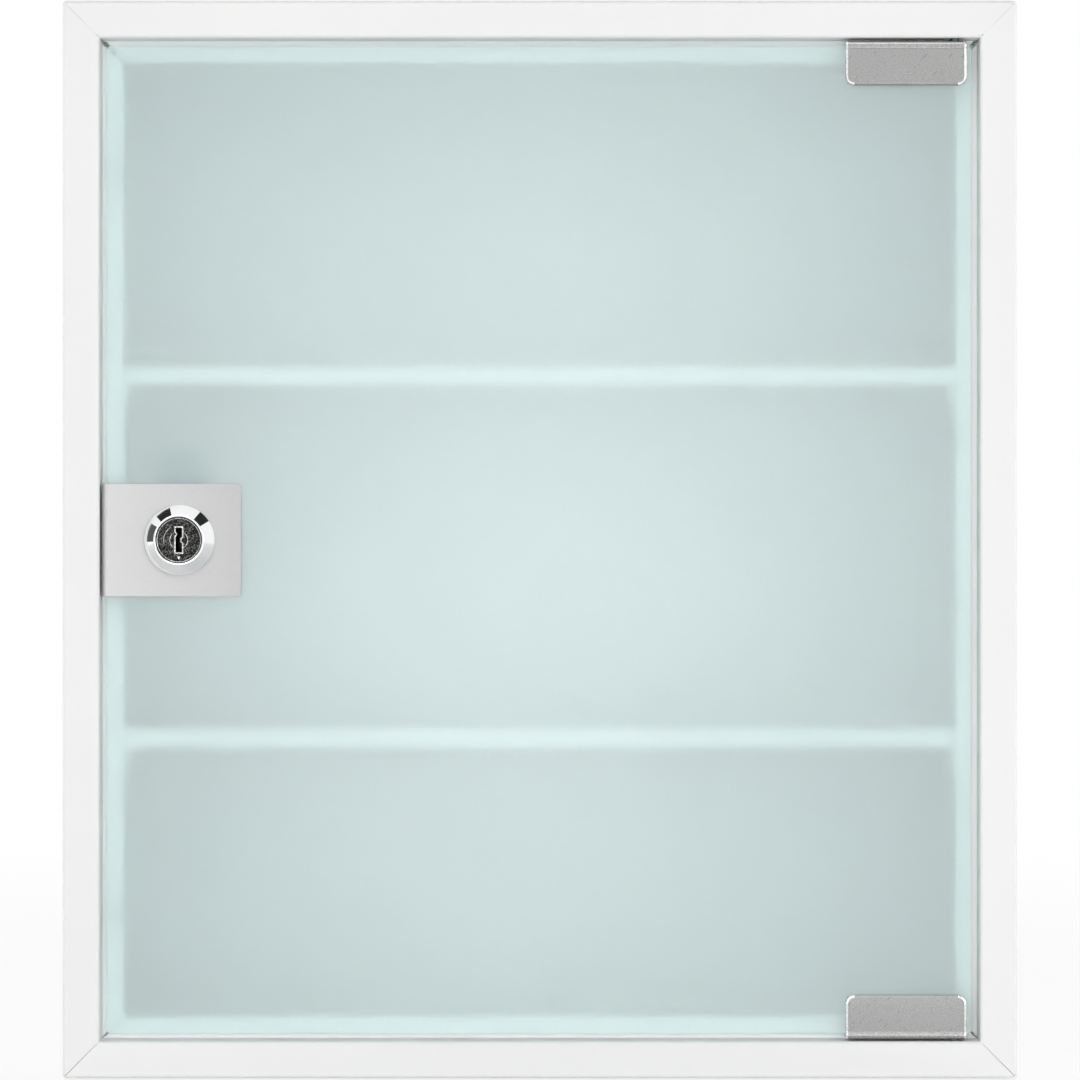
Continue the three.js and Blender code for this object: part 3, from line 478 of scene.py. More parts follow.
# %% Body sizes
SHEET = 0.8
HALF_SHEET = SHEET / 2
HALF_WIDTH, HALF_HEIGHT, FRONT = 155.0, 175.0, -120.0
FRAME_WIDTH, STOP_LIP, REAR_FLANGE = 12.0, 7.0, 12.0
STOP_REAR, FLANGE_REAR = -107.7, -0.85
BEND, FRAME_EDGE = 0.8, 0.07
MITRE_SETBACK = {"top": 0.008, "bottom": 0.09}
FOLD_SETBACK = {"top": 0.22, "bottom": 0.12}
LIP_SETBACK = {"top": 1.06, "bottom": 0.5}
PIVOT_X, PIVOT_Y, BUSH_HOLE = 135.0, -115.5, 2.55

frame_mid, stop_mid = FRONT + HALF_SHEET, STOP_REAR - HALF_SHEET
flange_mid = FLANGE_REAR - HALF_SHEET
return_in = FRAME_WIDTH - HALF_SHEET
wall_section = rounded_line(
    [
        (REAR_FLANGE, flange_mid),
        (HALF_SHEET, flange_mid),
        (HALF_SHEET, frame_mid),
        (return_in, frame_mid),
        (return_in, stop_mid),
        (FRAME_WIDTH + STOP_LIP, stop_mid),
    ],
    BEND,
)
corner_reach = HALF_SHEET + BEND
print("section of a wall:", len(wall_section), "points")
print("door opening:", 2 * (HALF_WIDTH - FRAME_WIDTH), "by", 2 * (HALF_HEIGHT - FRAME_WIDTH), "mm")


# %% Sweep the body
def wall_end(inward, y, half_length, corner):
    """How far a stretch of the section runs along its side, to a top or bottom corner."""
    if inward < HALF_SHEET + WELD:
        return half_length - corner_reach
    behind_frame = frame_mid + WELD < y < flange_mid - BEND - WELD
    if behind_frame and inward > FRAME_WIDTH / 2:
        setback = FOLD_SETBACK if y < frame_mid + BEND + WELD else LIP_SETBACK
        return half_length - inward - setback[corner]
    return half_length - max(inward, corner_reach) - MITRE_SETBACK[corner]


def add_wall(bm, half_length, corners, place, pivot=None):
    """One side between two corners; place puts (inward, y, along) into the frame, pivot is where its bush sits."""
    rows = []
    for inward, y in wall_section:
        low, high = (wall_end(inward, y, half_length, corner) for corner in corners)
        rows.append([place(inward, y, -low), place(inward, y, high)])
    made = add_grid(bm, rows)
    if pivot:
        before = next(
            i for i in range(len(wall_section) - 1)
            if wall_section[i].x > return_in - WELD and wall_section[i + 1].x > return_in - WELD
        )
        near, far = made[before], made[before + 1]
        bm.faces.remove(next(f for f in near[0].link_faces if far[1] in f.verts))
        hole = [bm.verts.new(place(return_in, PIVOT_Y + p.y, p.x)) for p in circle_loop(BUSH_HOLE, pivot)]
        fill_loops(bm, [[near[0], near[1], far[1], far[0]], hole])


body = bmesh.new()
for side, level in ((-1, "bottom"), (1, "top")):
    add_wall(
        body, HALF_HEIGHT, ("bottom", "top"),
        lambda inward, y, along: (side * (HALF_WIDTH - inward), y, along),
    )
    add_wall(
        body, HALF_WIDTH, (level, level),
        lambda inward, y, along: (along, y, side * (HALF_HEIGHT - inward)), pivot=PIVOT_X,
    )
turns = [math.pi / 2 * step / ARC_STEPS for step in range(ARC_STEPS + 1)]
for side_x in (-1, 1):
    for side_z in (-1, 1):
        bend = [
            (
                side_x * (HALF_WIDTH - corner_reach + BEND * math.cos(turn)),
                side_z * (HALF_HEIGHT - corner_reach + BEND * math.sin(turn)),
            )
            for turn in turns
        ]
        add_grid(body, [[(x, y, z) for x, z in bend] for y in (frame_mid + BEND, flange_mid - BEND)])
make_piece(
    "cabinet_body", body, "cabinet", white_paint,
    ["left_wall", "right_wall", "top_wall", "bottom_wall"], sheet=SHEET, edge=FRAME_EDGE,
)

# %% [markdown]
# ### Back panel
# A flat sheet closes the back. It hangs on two keyholes, and two plain holes below take steady screws. A plate
# with holes is quickest as closed loops: one outline and one loop for each hole.

# %% Back panel
BACK_HALF_WIDTH, BACK_HALF_HEIGHT, BACK_FRONT, BACK_CORNER = 154.0, 174.0, -0.8, 1.5
KEYHOLE_X, KEYHOLE_Z, KEYHOLE_HEAD, KEYHOLE_NECK, KEYHOLE_RISE = 110.0, 130.0, 4.5, 2.3, 9.0
HEAD_STEPS, SEAT_STEPS = 40, 20
STEADY_Z, STEADY_RADIUS = -130.0, 2.5
CUT_EDGE = 0.15


def keyhole_loop(x, z):
    """A round head below and a narrow neck with a round seat above, clockwise."""
    gap = math.asin(KEYHOLE_NECK / KEYHOLE_HEAD)
    sweep = 2 * math.pi - 2 * gap
    head = [math.pi / 2 + gap + sweep * step / HEAD_STEPS for step in range(HEAD_STEPS + 1)]
    seat = [math.pi * step / SEAT_STEPS for step in range(SEAT_STEPS + 1)]
    points = [Vector((x + KEYHOLE_HEAD * math.cos(a), z + KEYHOLE_HEAD * math.sin(a))) for a in head]
    top = z + KEYHOLE_RISE
    points += [Vector((x + KEYHOLE_NECK * math.cos(a), top + KEYHOLE_NECK * math.sin(a))) for a in seat]
    return points[::-1]


back_corners = box_corners(-BACK_HALF_WIDTH, -BACK_HALF_HEIGHT, BACK_HALF_WIDTH, BACK_HALF_HEIGHT)
back_loops = [rounded_loop(back_corners, BACK_CORNER)]
for side in (-1, 1):
    back_loops.append(keyhole_loop(side * KEYHOLE_X, KEYHOLE_Z))
    back_loops.append(circle_loop(STEADY_RADIUS, side * KEYHOLE_X, STEADY_Z, SMALL_SIDES)[::-1])
back = bmesh.new()
add_plate(back, back_loops, BACK_FRONT, 0.0, [CUT_EDGE] * len(back_loops))
make_piece("back_sheet", back, "cabinet", white_paint, ["back_panel"])

# %% [markdown]
# ### Shelves and bearers
# A shelf is a sheet with its front and rear edge turned down. It lies on angles welded to the side walls, and each
# angle has a small ear turned down at its front end, which shows beside the stop lip through the glass.

# %% Shelves
SHELF_TOPS = {"lower": -61.8, "upper": 56.6}
SHELF_HALF_WIDTH, SHELF_FRONT, SHELF_REAR, SHELF_EDGE = 153.5, -107.2, -2.15, 6.0

for level, top in SHELF_TOPS.items():
    mid = top - HALF_SHEET
    line = [
        (SHELF_REAR - HALF_SHEET, top - SHELF_EDGE),
        (SHELF_REAR - HALF_SHEET, mid),
        (SHELF_FRONT + HALF_SHEET, mid),
        (SHELF_FRONT + HALF_SHEET, top - SHELF_EDGE),
    ]
    shelf = bmesh.new()
    ends = (-SHELF_HALF_WIDTH, SHELF_HALF_WIDTH)
    add_grid(shelf, [[(x, y, z) for x in ends] for y, z in rounded_line(line, BEND)])
    make_piece(
        f"{level}_shelf_sheet", shelf, "cabinet", white_paint, [f"{level}_shelf"],
        sheet=SHEET, edge=CUT_EDGE,
    )

# %% Bearers
BEARER_END, BEARER_WALL, BEARER_REAR, BEARER_DROP = 134.0, 153.75, -3.45, 1.25
LEG_DEPTH, LEG_FRONT = 12.0, -103.1
EAR_Y, EAR_DEPTH, EAR_SLANT, EAR_OUTER = -105.7, 14.5, 3.0, 152.35

for level, top in SHELF_TOPS.items():
    for name, side in (("left", -1), ("right", 1)):
        seat = top - BEARER_DROP
        bearer = bmesh.new()
        fold_x, fold_y = BEARER_WALL - BEND, EAR_Y + BEND
        columns = (BEARER_END, EAR_OUTER)
        for y_pair in ((fold_y, LEG_FRONT), (LEG_FRONT, BEARER_REAR)):
            add_grid(bearer, [[(side * x, y, seat) for x in columns] for y in y_pair])
        add_grid(bearer, [[(side * x, y, seat) for x in (EAR_OUTER, fold_x)] for y in (LEG_FRONT, BEARER_REAR)])
        leg = rounded_line([(EAR_OUTER, seat), (BEARER_WALL, seat), (BEARER_WALL, seat - LEG_DEPTH)], BEND)[1:]
        add_grid(bearer, [[(side * x, y, z) for y in (LEG_FRONT, BEARER_REAR)] for x, z in leg])
        ear = rounded_line([(LEG_FRONT, seat), (EAR_Y, seat), (EAR_Y, seat - EAR_DEPTH)], BEND)[1:]
        ear.insert(-1, Vector((EAR_Y, seat - EAR_DEPTH + EAR_SLANT)))
        starts = [BEARER_END] * (len(ear) - 1) + [BEARER_END + EAR_SLANT]
        add_grid(bearer, [[(side * x, y, z) for x in (start, EAR_OUTER)] for start, (y, z) in zip(starts, ear)])
        make_piece(
            f"{level}_{name}_bearer_angle", bearer, "cabinet", white_paint, [f"{level}_{name}_bearer"],
            sheet=SHEET, edge=CUT_EDGE,
        )

# %% [markdown]
# ### Bumpers and bushes
# Two soft domes on the stop lip meet the closed glass, and a flanged nylon bush in the frame's return holds each
# pivot pin. Both are turned from a profile, with a small radius on each rim so that it catches the light.

# %% Bumpers
BUMPER_X, BUMPER_Z, BUMPER_RADIUS, BUMPER_FOOT, BUMPER_TOP = -138.5, 121.5, 2.2, -108.55, -113.2
DOME_STEPS = 12

for level, end in (("upper", 1), ("lower", -1)):
    dome = [(BUMPER_RADIUS, BUMPER_FOOT), (BUMPER_RADIUS, (BUMPER_FOOT + BUMPER_TOP) / 2)]
    rise = (BUMPER_FOOT - BUMPER_TOP) / 2
    for step in range(1, DOME_STEPS):
        turn = math.pi / 2 * step / DOME_STEPS
        dome.append((BUMPER_RADIUS * math.cos(turn), dome[1][1] - rise * math.sin(turn)))
    profile = [(0.0, BUMPER_FOOT), *dome, (0.0, BUMPER_TOP)]
    bumper = bmesh.new()
    add_turned(bumper, profile, lambda a, b, y: (BUMPER_X + a, y, end * BUMPER_Z + b), SMALL_SIDES)
    make_piece(f"{level}_door_bumper", bumper, "cabinet", clear_silicone, [f"{level}_bumper"])

# %% Bushes
BUSH_RADIUS, BUSH_BORE, BUSH_START, BUSH_LENGTH, BORE_DEPTH = 2.5, 1.7, 163.0, 4.0, 3.0
COLLAR_RADIUS, COLLAR_START, COLLAR_END, COLLAR_EDGE = 3.2, 0.85, 1.85, 0.1
BUSH_EDGE, MOUTH, MOUTH_EDGE = 0.15, 0.03, 0.17

bush_profile = [
    (0.0, BORE_DEPTH), (BUSH_BORE, BORE_DEPTH),
    (BUSH_BORE, MOUTH + MOUTH_EDGE), (BUSH_BORE + BUSH_EDGE, MOUTH),
    (BUSH_RADIUS - BUSH_EDGE, MOUTH), (BUSH_RADIUS, MOUTH + MOUTH_EDGE),
    (BUSH_RADIUS, COLLAR_START), (COLLAR_RADIUS - COLLAR_EDGE, COLLAR_START),
    (COLLAR_RADIUS, COLLAR_START + COLLAR_EDGE), (COLLAR_RADIUS, COLLAR_END - COLLAR_EDGE),
    (COLLAR_RADIUS - COLLAR_EDGE, COLLAR_END), (BUSH_RADIUS, COLLAR_END),
    (BUSH_RADIUS, BUSH_LENGTH - BUSH_EDGE), (BUSH_RADIUS - BUSH_EDGE, BUSH_LENGTH), (0.0, BUSH_LENGTH),
]
for level, end in (("top", 1), ("bottom", -1)):
    bush = bmesh.new()
    add_turned(
        bush, bush_profile,
        lambda a, b, z: (PIVOT_X + a, PIVOT_Y + b, end * (BUSH_START + z)), SMALL_SIDES,
    )
    make_piece(f"{level}_nylon_bush", bush, "cabinet", white_nylon, [f"{level}_pivot_bush"])

# %% [markdown]
# ## The door
# The pane is a plate with a ground, slightly rounded edge and one hole for the lock. Its flat faces take the
# frosted finish and the rounded edge takes the green of ground glass. The outermost faces shine a little with a
# painted glow, which stands for light that ran inside the pane and leaves there, and brightens the shaded gap round
# it.

# %% Glass pane
GLASS_LEFT, GLASS_RIGHT, GLASS_BOTTOM, GLASS_TOP = -141.0, 140.6, -161.0, 160.6
GLASS_FRONT, GLASS_BACK, GLASS_CORNER, GLASS_EDGE = -117.5, -113.5, 2.0, 0.6
LOCK_X, LOCK_Z, LOCK_HOLE = -117.0, -0.2, 10.5
FLAT_FACING, SIDE_FACING = 0.99, 0.3

pane = bmesh.new()
pane_loops = [
    rounded_loop(box_corners(GLASS_LEFT, GLASS_BOTTOM, GLASS_RIGHT, GLASS_TOP), GLASS_CORNER),
    circle_loop(LOCK_HOLE, LOCK_X, LOCK_Z)[::-1],
]
add_plate(pane, pane_loops, GLASS_FRONT, GLASS_BACK, [GLASS_EDGE, GLASS_EDGE])
door_glass = make_piece("door_glass", pane, "door", frosted_glass, ["glass_pane"])
door_glass.data.materials.append(ground_edge)
door_glass.data.materials.append(painted_glow_edge)
for face in door_glass.data.polygons:
    facing = abs(face.normal.y)
    face.material_index = 0 if facing > FLAT_FACING else 1 if facing > SIDE_FACING else 2
print("faces on the edges:", sum(face.material_index > 0 for face in door_glass.data.polygons))

# %% [markdown]
# ### Hinge clips
# Each clip is a U of one millimetre steel over the edge of the glass, its free corners rounded and its front leaf
# set in by a shallow step under the bend. The bend is tight, so the band above the step looks forward and is bright
# up to its edge. Two threaded bosses on the rear leaf take grub screws. The sheet is drawn as rows across the clip,
# and the rows near a free edge are shorter so that the corners come out round. A Bevel would be held back by the
# close rows of the bend. So the rim is drawn on the unrolled sheet, as its outline moved inwards step by step, and
# each of these rings is then laid on the folded line.

# %% Sizes of the clips
CLIP_LEFT, CLIP_RIGHT, CLIP_SHEET, CLIP_BEND, CLIP_CORNER = 99.3, 138.8, 1.0, 0.8, 2.9
CLIP_FRONT_MID, CLIP_REAR_MID, CLIP_DEPTH = -118.5, -112.5, 14.5
CLIP_EDGES = {"top": (161.6, 1), "bottom": (-162.0, -1)}
GRUB_X, GRUB_RISE, GRUB_RADIUS, GRUB_SOCKET = (109.05, 129.05), 5.5, 2.0, 1.15
BOSS_RADIUS, BOSS_HOLE, BOSS_START, BOSS_END, BOSS_EDGES = 3.2, 2.05, -112.2, -110.4, [0.3, 0.15]
SCREW_SIDES = 40
STEP_DROP, STEP_RISE, STEP_OUT = 0.9, 0.12, 0.2
CLIP_RIM, RIM_FINISH, BEND_FINISH = 0.85, 1, 2
print("clip:", CLIP_RIGHT - CLIP_LEFT, "by", CLIP_DEPTH, "mm")


# %% Rows of a folded sheet
def leaf_rows(corner, steps=ARC_STEPS):
    """Distance from a free edge and how much shorter that row is at each end."""
    turns = [math.pi / 2 * step / steps for step in range(steps + 1)]
    return [(corner * (1 - math.cos(t)), corner * (1 - math.sin(t))) for t in turns]


def folded_u(line, corner):
    """The mid line of a U with the short rows of its two free edges added: (point, shortening)."""
    first, last = line[0], line[-1]
    into_first, into_last = (line[1] - first).normalized(), (line[-2] - last).normalized()
    rows = [(first + into_first * depth, short) for depth, short in leaf_rows(corner)]
    rows += [(point, 0.0) for point in line[1:-1]]
    return rows + [(last + into_last * depth, short) for depth, short in reversed(leaf_rows(corner))]


# %% A sheet with a rim
def add_rimmed_sheet(bm, rows, left, right, sheet, rim, steps=ARC_STEPS):
    """A folded sheet between two X ends with a half-round rim, from rows of (mid point, shortening)."""
    points = [point for point, short in rows]
    reach = [0.0]
    for point, after in zip(points, points[1:]):
        reach.append(reach[-1] + (after - point).length)
    ways = [(after - point).normalized() for point, after in zip(points, points[1:])]
    normals = []
    for before, after in zip(ways[:1] + ways, ways + ways[-1:]):
        way = (before + after).normalized()
        normals.append(Vector((-way.y, way.x)))

    def place(x, along, offset):
        i = min(max(bisect.bisect(reach, along) - 1, 0), len(reach) - 2)
        share = (along - reach[i]) / (reach[i + 1] - reach[i])
        middle = points[i].lerp(points[i + 1], share) + normals[i].lerp(normals[i + 1], share) * offset
        return (x, middle.x, middle.y)

    outline = [Vector((right - short, along)) for (point, short), along in zip(rows, reach)]
    outline += [Vector((left + right - p.x, p.y)) for p in reversed(outline)]
    rings = []
    for step in range(steps + 1):
        turn = math.pi * (step / steps - 0.5)
        moved = inset_loop(outline, rim * (1 - math.cos(turn)))
        rings.append([place(p.x, p.y, sheet / 2 * math.sin(turn)) for p in moved])
    made = add_grid(bm, rings, closed=True)
    free_edges = (len(rows) - 1, len(outline) - 1)
    for i, face in enumerate(bm.faces):
        if i % len(outline) not in free_edges:
            face.material_index = RIM_FINISH
    for ring in (made[0], made[-1]):
        for i in range(len(rows) - 1):
            bm.faces.new((ring[i], ring[i + 1], ring[-2 - i], ring[-1 - i]))


# %% Hinge clips
for level, (crown, end) in CLIP_EDGES.items():
    free = crown + end * (CLIP_SHEET / 2 - CLIP_DEPTH)
    u_line = rounded_line(
        [(CLIP_FRONT_MID, free), (CLIP_FRONT_MID, crown), (CLIP_REAR_MID, crown), (CLIP_REAR_MID, free)],
        CLIP_BEND,
    )
    step = crown - end * (CLIP_BEND + STEP_DROP)
    for share in (1, 0.5, 0):
        u_line.insert(1, Vector((CLIP_FRONT_MID + STEP_OUT * (1 - share), step - end * STEP_RISE * (1 - share))))
    u_line[0] += Vector((STEP_OUT, 0))
    clip = bmesh.new()
    add_rimmed_sheet(clip, folded_u(u_line, CLIP_CORNER), CLIP_LEFT, CLIP_RIGHT, CLIP_SHEET, CLIP_RIM)
    for face in clip.faces:
        if face.material_index != RIM_FINISH and end * face.calc_center_median().z > end * step:
            face.material_index = BEND_FINISH
    clip_sheet = make_piece(f"{level}_clip_sheet", clip, "door", tumbled_steel, [f"{level}_hinge_clip"])
    clip_sheet.data.materials.append(burnished_steel)
    clip_sheet.data.materials.append(rolled_steel)
    bosses = bmesh.new()
    for x in GRUB_X:
        outside, hole = (
            circle_loop(radius, x, free + end * GRUB_RISE, SCREW_SIDES) for radius in (BOSS_RADIUS, BOSS_HOLE)
        )
        add_plate(bosses, [outside, hole[::-1]], BOSS_START, BOSS_END, BOSS_EDGES)
    make_piece(f"{level}_clip_bosses", bosses, "door", tumbled_steel, [f"{level}_hinge_clip"])

# %% [markdown]
# ### Grub screws and pivot pins
# The grub screws press on the liner and show a hexagon socket. The socket is a plate with a hexagonal hole on top
# of a plain stub. Each pivot pin is a short turned bar with a chamfer at its tip.

# %% Grub screws and pins
GRUB_TIP, GRUB_END, GRUB_FLOOR, SOCKET_FLOOR = -113.0, -110.4, -111.8, -111.79
GRUB_TIP_EDGE, GRUB_EDGES = [0.2], [0.25, 0.06]
PIN_RADIUS, PIN_CHAMFER = 1.5, 0.4
PIN_SPAN = {"top": (161.1, 165.7), "bottom": (-161.5, -165.7)}

for level, (crown, end) in CLIP_EDGES.items():
    z = crown + end * (CLIP_SHEET / 2 - CLIP_DEPTH + GRUB_RISE)
    for name, x in zip(("left", "right"), GRUB_X):
        outside = circle_loop(GRUB_RADIUS, x, z, SCREW_SIDES)
        socket = circle_loop(GRUB_SOCKET, x, z, sides=6)[::-1]
        grub = bmesh.new()
        add_plate(grub, [outside], GRUB_TIP, GRUB_FLOOR, GRUB_TIP_EDGE)
        add_plate(grub, [outside, socket], SOCKET_FLOOR, GRUB_END, GRUB_EDGES)
        make_piece(f"{level}_grub_screw_{name}", grub, "door", zinc_plate, [f"{level}_clip_screw_{name}"])
    start, tip = PIN_SPAN[level]
    profile = [
        (0.0, start), (PIN_RADIUS, start), (PIN_RADIUS, tip - end * PIN_CHAMFER),
        (PIN_RADIUS - PIN_CHAMFER, tip), (0.0, tip),
    ]
    pin = bmesh.new()
    add_turned(pin, profile, lambda a, b, z: (PIVOT_X + a, PIVOT_Y + b, z), SMALL_SIDES)
    make_piece(f"{level}_pin", pin, "door", dark_zinc, [f"{level}_pivot_pin"])

# %% [markdown]
# ## The lock
# A folded plate over the free edge of the glass carries the lock. Each of its leaves has a hole with two flats, and
# the flats of the barrel fit in it, so that the lock can't turn in the plate. The barrel has a bright conical bezel
# in front and a thread behind, where a washer and a hexagon nut clamp it.

# %% Lock plate
PLATE_FREE, PLATE_EDGE_MID, PLATE_HALF, PLATE_SHEET, PLATE_CORNER = -97.0, -142.0, 18.25, 1.0, 1.0
PLATE_BEND, PLATE_HOLE, HOLE_FLAT, PLATE_BREAK, ROLLED_FINISH = 1.5, 9.65, 8.4, 0.3, 1

plate_line = rounded_line(
    [
        (PLATE_FREE, CLIP_FRONT_MID),
        (PLATE_EDGE_MID, CLIP_FRONT_MID),
        (PLATE_EDGE_MID, CLIP_REAR_MID),
        (PLATE_FREE, CLIP_REAR_MID),
    ],
    PLATE_BEND,
)
lock_plate = bmesh.new()
rows = folded_u(plate_line, PLATE_CORNER)
low, high = LOCK_Z - PLATE_HALF, LOCK_Z + PLATE_HALF
made = add_grid(lock_plate, [[(p.x, p.y, low + s), (p.x, p.y, high - s)] for p, s in rows])
leaf_end = len(leaf_rows(PLATE_CORNER)) - 1
for y, before in ((CLIP_FRONT_MID, leaf_end), (CLIP_REAR_MID, len(made) - 2 - leaf_end)):
    near, far = made[before], made[before + 1]
    lock_plate.faces.remove(next(f for f in near[0].link_faces if far[1] in f.verts))
    round_hole = circle_loop(PLATE_HOLE, 0, LOCK_Z)
    hole = [lock_plate.verts.new((LOCK_X + max(-HOLE_FLAT, min(HOLE_FLAT, p.x)), y, p.y)) for p in round_hole]
    fill_loops(lock_plate, [[near[0], near[1], far[1], far[0]], hole])
for face in lock_plate.faces:
    if face.calc_center_median().x < PLATE_EDGE_MID + PLATE_BEND:
        face.material_index = ROLLED_FINISH
plate_piece = make_piece(
    "lock_plate", lock_plate, "door", satin_aluminium, ["lock_bracket"],
    sheet=PLATE_SHEET, edge=PLATE_BREAK,
)
plate_piece.data.materials.append(rolled_aluminium)

# %% Bezel
def at_lock(across, up, along):
    """A point by its distances from the lock's axis and its depth."""
    return (LOCK_X + across, along, LOCK_Z + up)


BEZEL_FOOT, BEZEL_SHOULDER, BEZEL_TOP, BEZEL_FLOOR = -119.05, -120.2, -123.5, -119.9
BEZEL_RADIUS, BEZEL_TOP_RADIUS, FACE_BORE, BEZEL_SIDES = 11.6, 8.2, 7.55, 128
BARREL_RADIUS, BARREL_FLAT, BARREL_END, BARREL_BORE = 9.5, 8.25, -106.95, 6.65

# Two points a tenth or two apart ease each edge.
bezel_profile = [
    (FACE_BORE, BEZEL_FLOOR), (FACE_BORE, BEZEL_TOP + 0.12), (FACE_BORE + 0.1, BEZEL_TOP),
    (BEZEL_TOP_RADIUS - 0.15, BEZEL_TOP), (BEZEL_TOP_RADIUS + 0.12, BEZEL_TOP + 0.1),
    (BEZEL_RADIUS - 0.22, BEZEL_SHOULDER - 0.2), (BEZEL_RADIUS - 0.06, BEZEL_SHOULDER - 0.02),
    (BEZEL_RADIUS, BEZEL_SHOULDER + 0.2), (BEZEL_RADIUS, BEZEL_FOOT - 0.15),
    (BEZEL_RADIUS - 0.15, BEZEL_FOOT), (BARREL_RADIUS - 0.4, BEZEL_FOOT),
]
barrel = bmesh.new()
add_turned(barrel, bezel_profile[::-1], at_lock, BEZEL_SIDES)
print("bezel:", 2 * BEZEL_RADIUS, "mm across")

# %% Threaded barrel
THREAD_START, THREAD_PITCH, THREAD_DEPTH, BORE_FLOOR = -112.0, 1.0, 0.45, -112.4
THREAD_SIDES, THREAD_STEPS, PLAIN_ROWS = 72, 6, 3

rows = []
thread_rows = int((BARREL_END - THREAD_START) / THREAD_PITCH * THREAD_STEPS)
for level in range(-PLAIN_ROWS, thread_rows + 1):
    y = THREAD_START + level * THREAD_PITCH / THREAD_STEPS
    row = []
    for side in range(THREAD_SIDES):
        angle = 2 * math.pi * side / THREAD_SIDES
        phase = ((y - THREAD_START) / THREAD_PITCH - side / THREAD_SIDES) % 1.0
        radius = BARREL_RADIUS - (THREAD_DEPTH * abs(2 * phase - 1) if level > 0 else 0.0)
        across = max(-BARREL_FLAT, min(BARREL_FLAT, radius * math.cos(angle)))
        row.append(at_lock(across, radius * math.sin(angle), y))
    rows.append(row)
bore = [2 * math.pi * side / THREAD_SIDES for side in range(THREAD_SIDES)]
for y in (BARREL_END, BORE_FLOOR):
    rows.append([at_lock(BARREL_BORE * math.cos(a), BARREL_BORE * math.sin(a), y) for a in bore])
rows.append(rows[0])
add_grid(barrel, rows, closed=True)
make_piece("lock_case", barrel, "door", polished_chrome, ["lock_barrel"])

# %% Washer and nut
WASHER_RADIUS, WASHER_HOLE, WASHER_FRONT, WASHER_BACK = 11.75, 9.7, -111.95, -111.15
NUT_RADIUS, NUT_CORNER, NUT_FRONT, NUT_BACK, NUT_EDGES = 12.5, 0.6, -111.1, -107.6, [0.45, 0.4]
FEW_STEPS = 3


def lock_circle(radius, sides=ROUND_SIDES):
    """A circle round the lock's axis."""
    return circle_loop(radius, LOCK_X, LOCK_Z, sides)


washer = bmesh.new()
washer_loops = [lock_circle(WASHER_RADIUS), lock_circle(WASHER_HOLE)[::-1]]
add_plate(washer, washer_loops, WASHER_FRONT, WASHER_BACK, [CUT_EDGE, CUT_EDGE])
make_piece("flat_washer", washer, "door", zinc_plate, ["lock_washer"])

nut = bmesh.new()
nut_loops = [
    rounded_loop(lock_circle(NUT_RADIUS, sides=6), NUT_CORNER, FEW_STEPS),
    lock_circle(WASHER_HOLE)[::-1],
]
add_plate(nut, nut_loops, NUT_FRONT, NUT_BACK, NUT_EDGES)
make_piece("hexagon_nut", nut, "door", zinc_plate, ["lock_nut"])

# %% [markdown]
# ### Lock core
# The core turns in the barrel. Its face is dished inside a bright rim, with a ribbed key slot, a raised ring round
# the slot and a small triangle that points to the closed side. The face is a plate with the key slot as its hole,
# so the slot is really open and shows the wafers behind it. The key has worn the raised lip of the slot bright, and
# handling has worn the rim, so both are made apart in the worn finish.

# %% Key slot
SLOT_HALF, SLOT_TOP, SLOT_CORNER, SLOT_STEPS, RIB = 1.0, 4.0, 0.15, 2, 0.55

slot_corners = [
    (-SLOT_HALF, -SLOT_TOP), (SLOT_HALF, -SLOT_TOP), (SLOT_HALF, -2 * RIB), (SLOT_HALF - RIB, -RIB),
    (SLOT_HALF - RIB, RIB), (SLOT_HALF, 2 * RIB), (SLOT_HALF, SLOT_TOP), (-SLOT_HALF, SLOT_TOP),
    (-SLOT_HALF, 5 * RIB), (RIB - SLOT_HALF, 4 * RIB), (RIB - SLOT_HALF, 3 * RIB), (-SLOT_HALF, 2 * RIB),
]
key_slot = rounded_loop([(LOCK_X + x, LOCK_Z + z) for x, z in slot_corners], SLOT_CORNER, SLOT_STEPS)[::-1]
print("key slot:", 2 * SLOT_HALF, "by", 2 * SLOT_TOP, "mm,", len(key_slot), "points")

# %% Lock core
CORE_RADIUS, HEAD_RADIUS, FACE_PLATE, CORE_SIDES = 6.5, 7.35, 6.2, 96
CORE_FRONT, CORE_DISH, HEAD_END, CORE_SHOULDER, CORE_CHAMFER = -123.0, 0.35, -120.0, -106.65, 0.2
SLOT_END, FACE_EDGES = -111.0, [0.02, 0.05]
TAIL_HALF, TAIL_CORNER, TAIL_START, TAIL_END, TAIL_INSIDE, TAIL_EDGE = 3.5, 0.4, -106.95, -104.8, 3.15, [0.2]


def lock_square(half):
    """The corners of a square round the lock's axis."""
    return box_corners(LOCK_X - half, LOCK_Z - half, LOCK_X + half, LOCK_Z + half)


core = bmesh.new()
dish = CORE_FRONT + CORE_DISH
add_plate(core, [lock_circle(FACE_PLATE), key_slot], dish, SLOT_END, FACE_EDGES)
core_profile = [
    (FACE_PLATE, dish), (HEAD_RADIUS, dish), (HEAD_RADIUS, HEAD_END), (CORE_RADIUS, HEAD_END),
    (CORE_RADIUS, CORE_SHOULDER - CORE_CHAMFER), (CORE_RADIUS - CORE_CHAMFER, CORE_SHOULDER),
    (TAIL_INSIDE, CORE_SHOULDER),
]
add_turned(core, core_profile, at_lock, CORE_SIDES)
tail = rounded_loop(lock_square(TAIL_HALF), TAIL_CORNER, FEW_STEPS)
add_plate(core, [tail], TAIL_START, TAIL_END, TAIL_EDGE)
make_piece("lock_core_face", core, "lock_core", dark_nickel, ["lock_plug"])

# %% Worn rim and slot lip
RIM_RADIUS, FACE_RADIUS = 7.4, 6.9
LIP_WIDTH, LIP_HEIGHT, LIP_FOOT, LIP_CORNER, LIP_EDGES = 0.5, 0.2, 0.3, 0.12, [0.15, 0.18]

rim = bmesh.new()
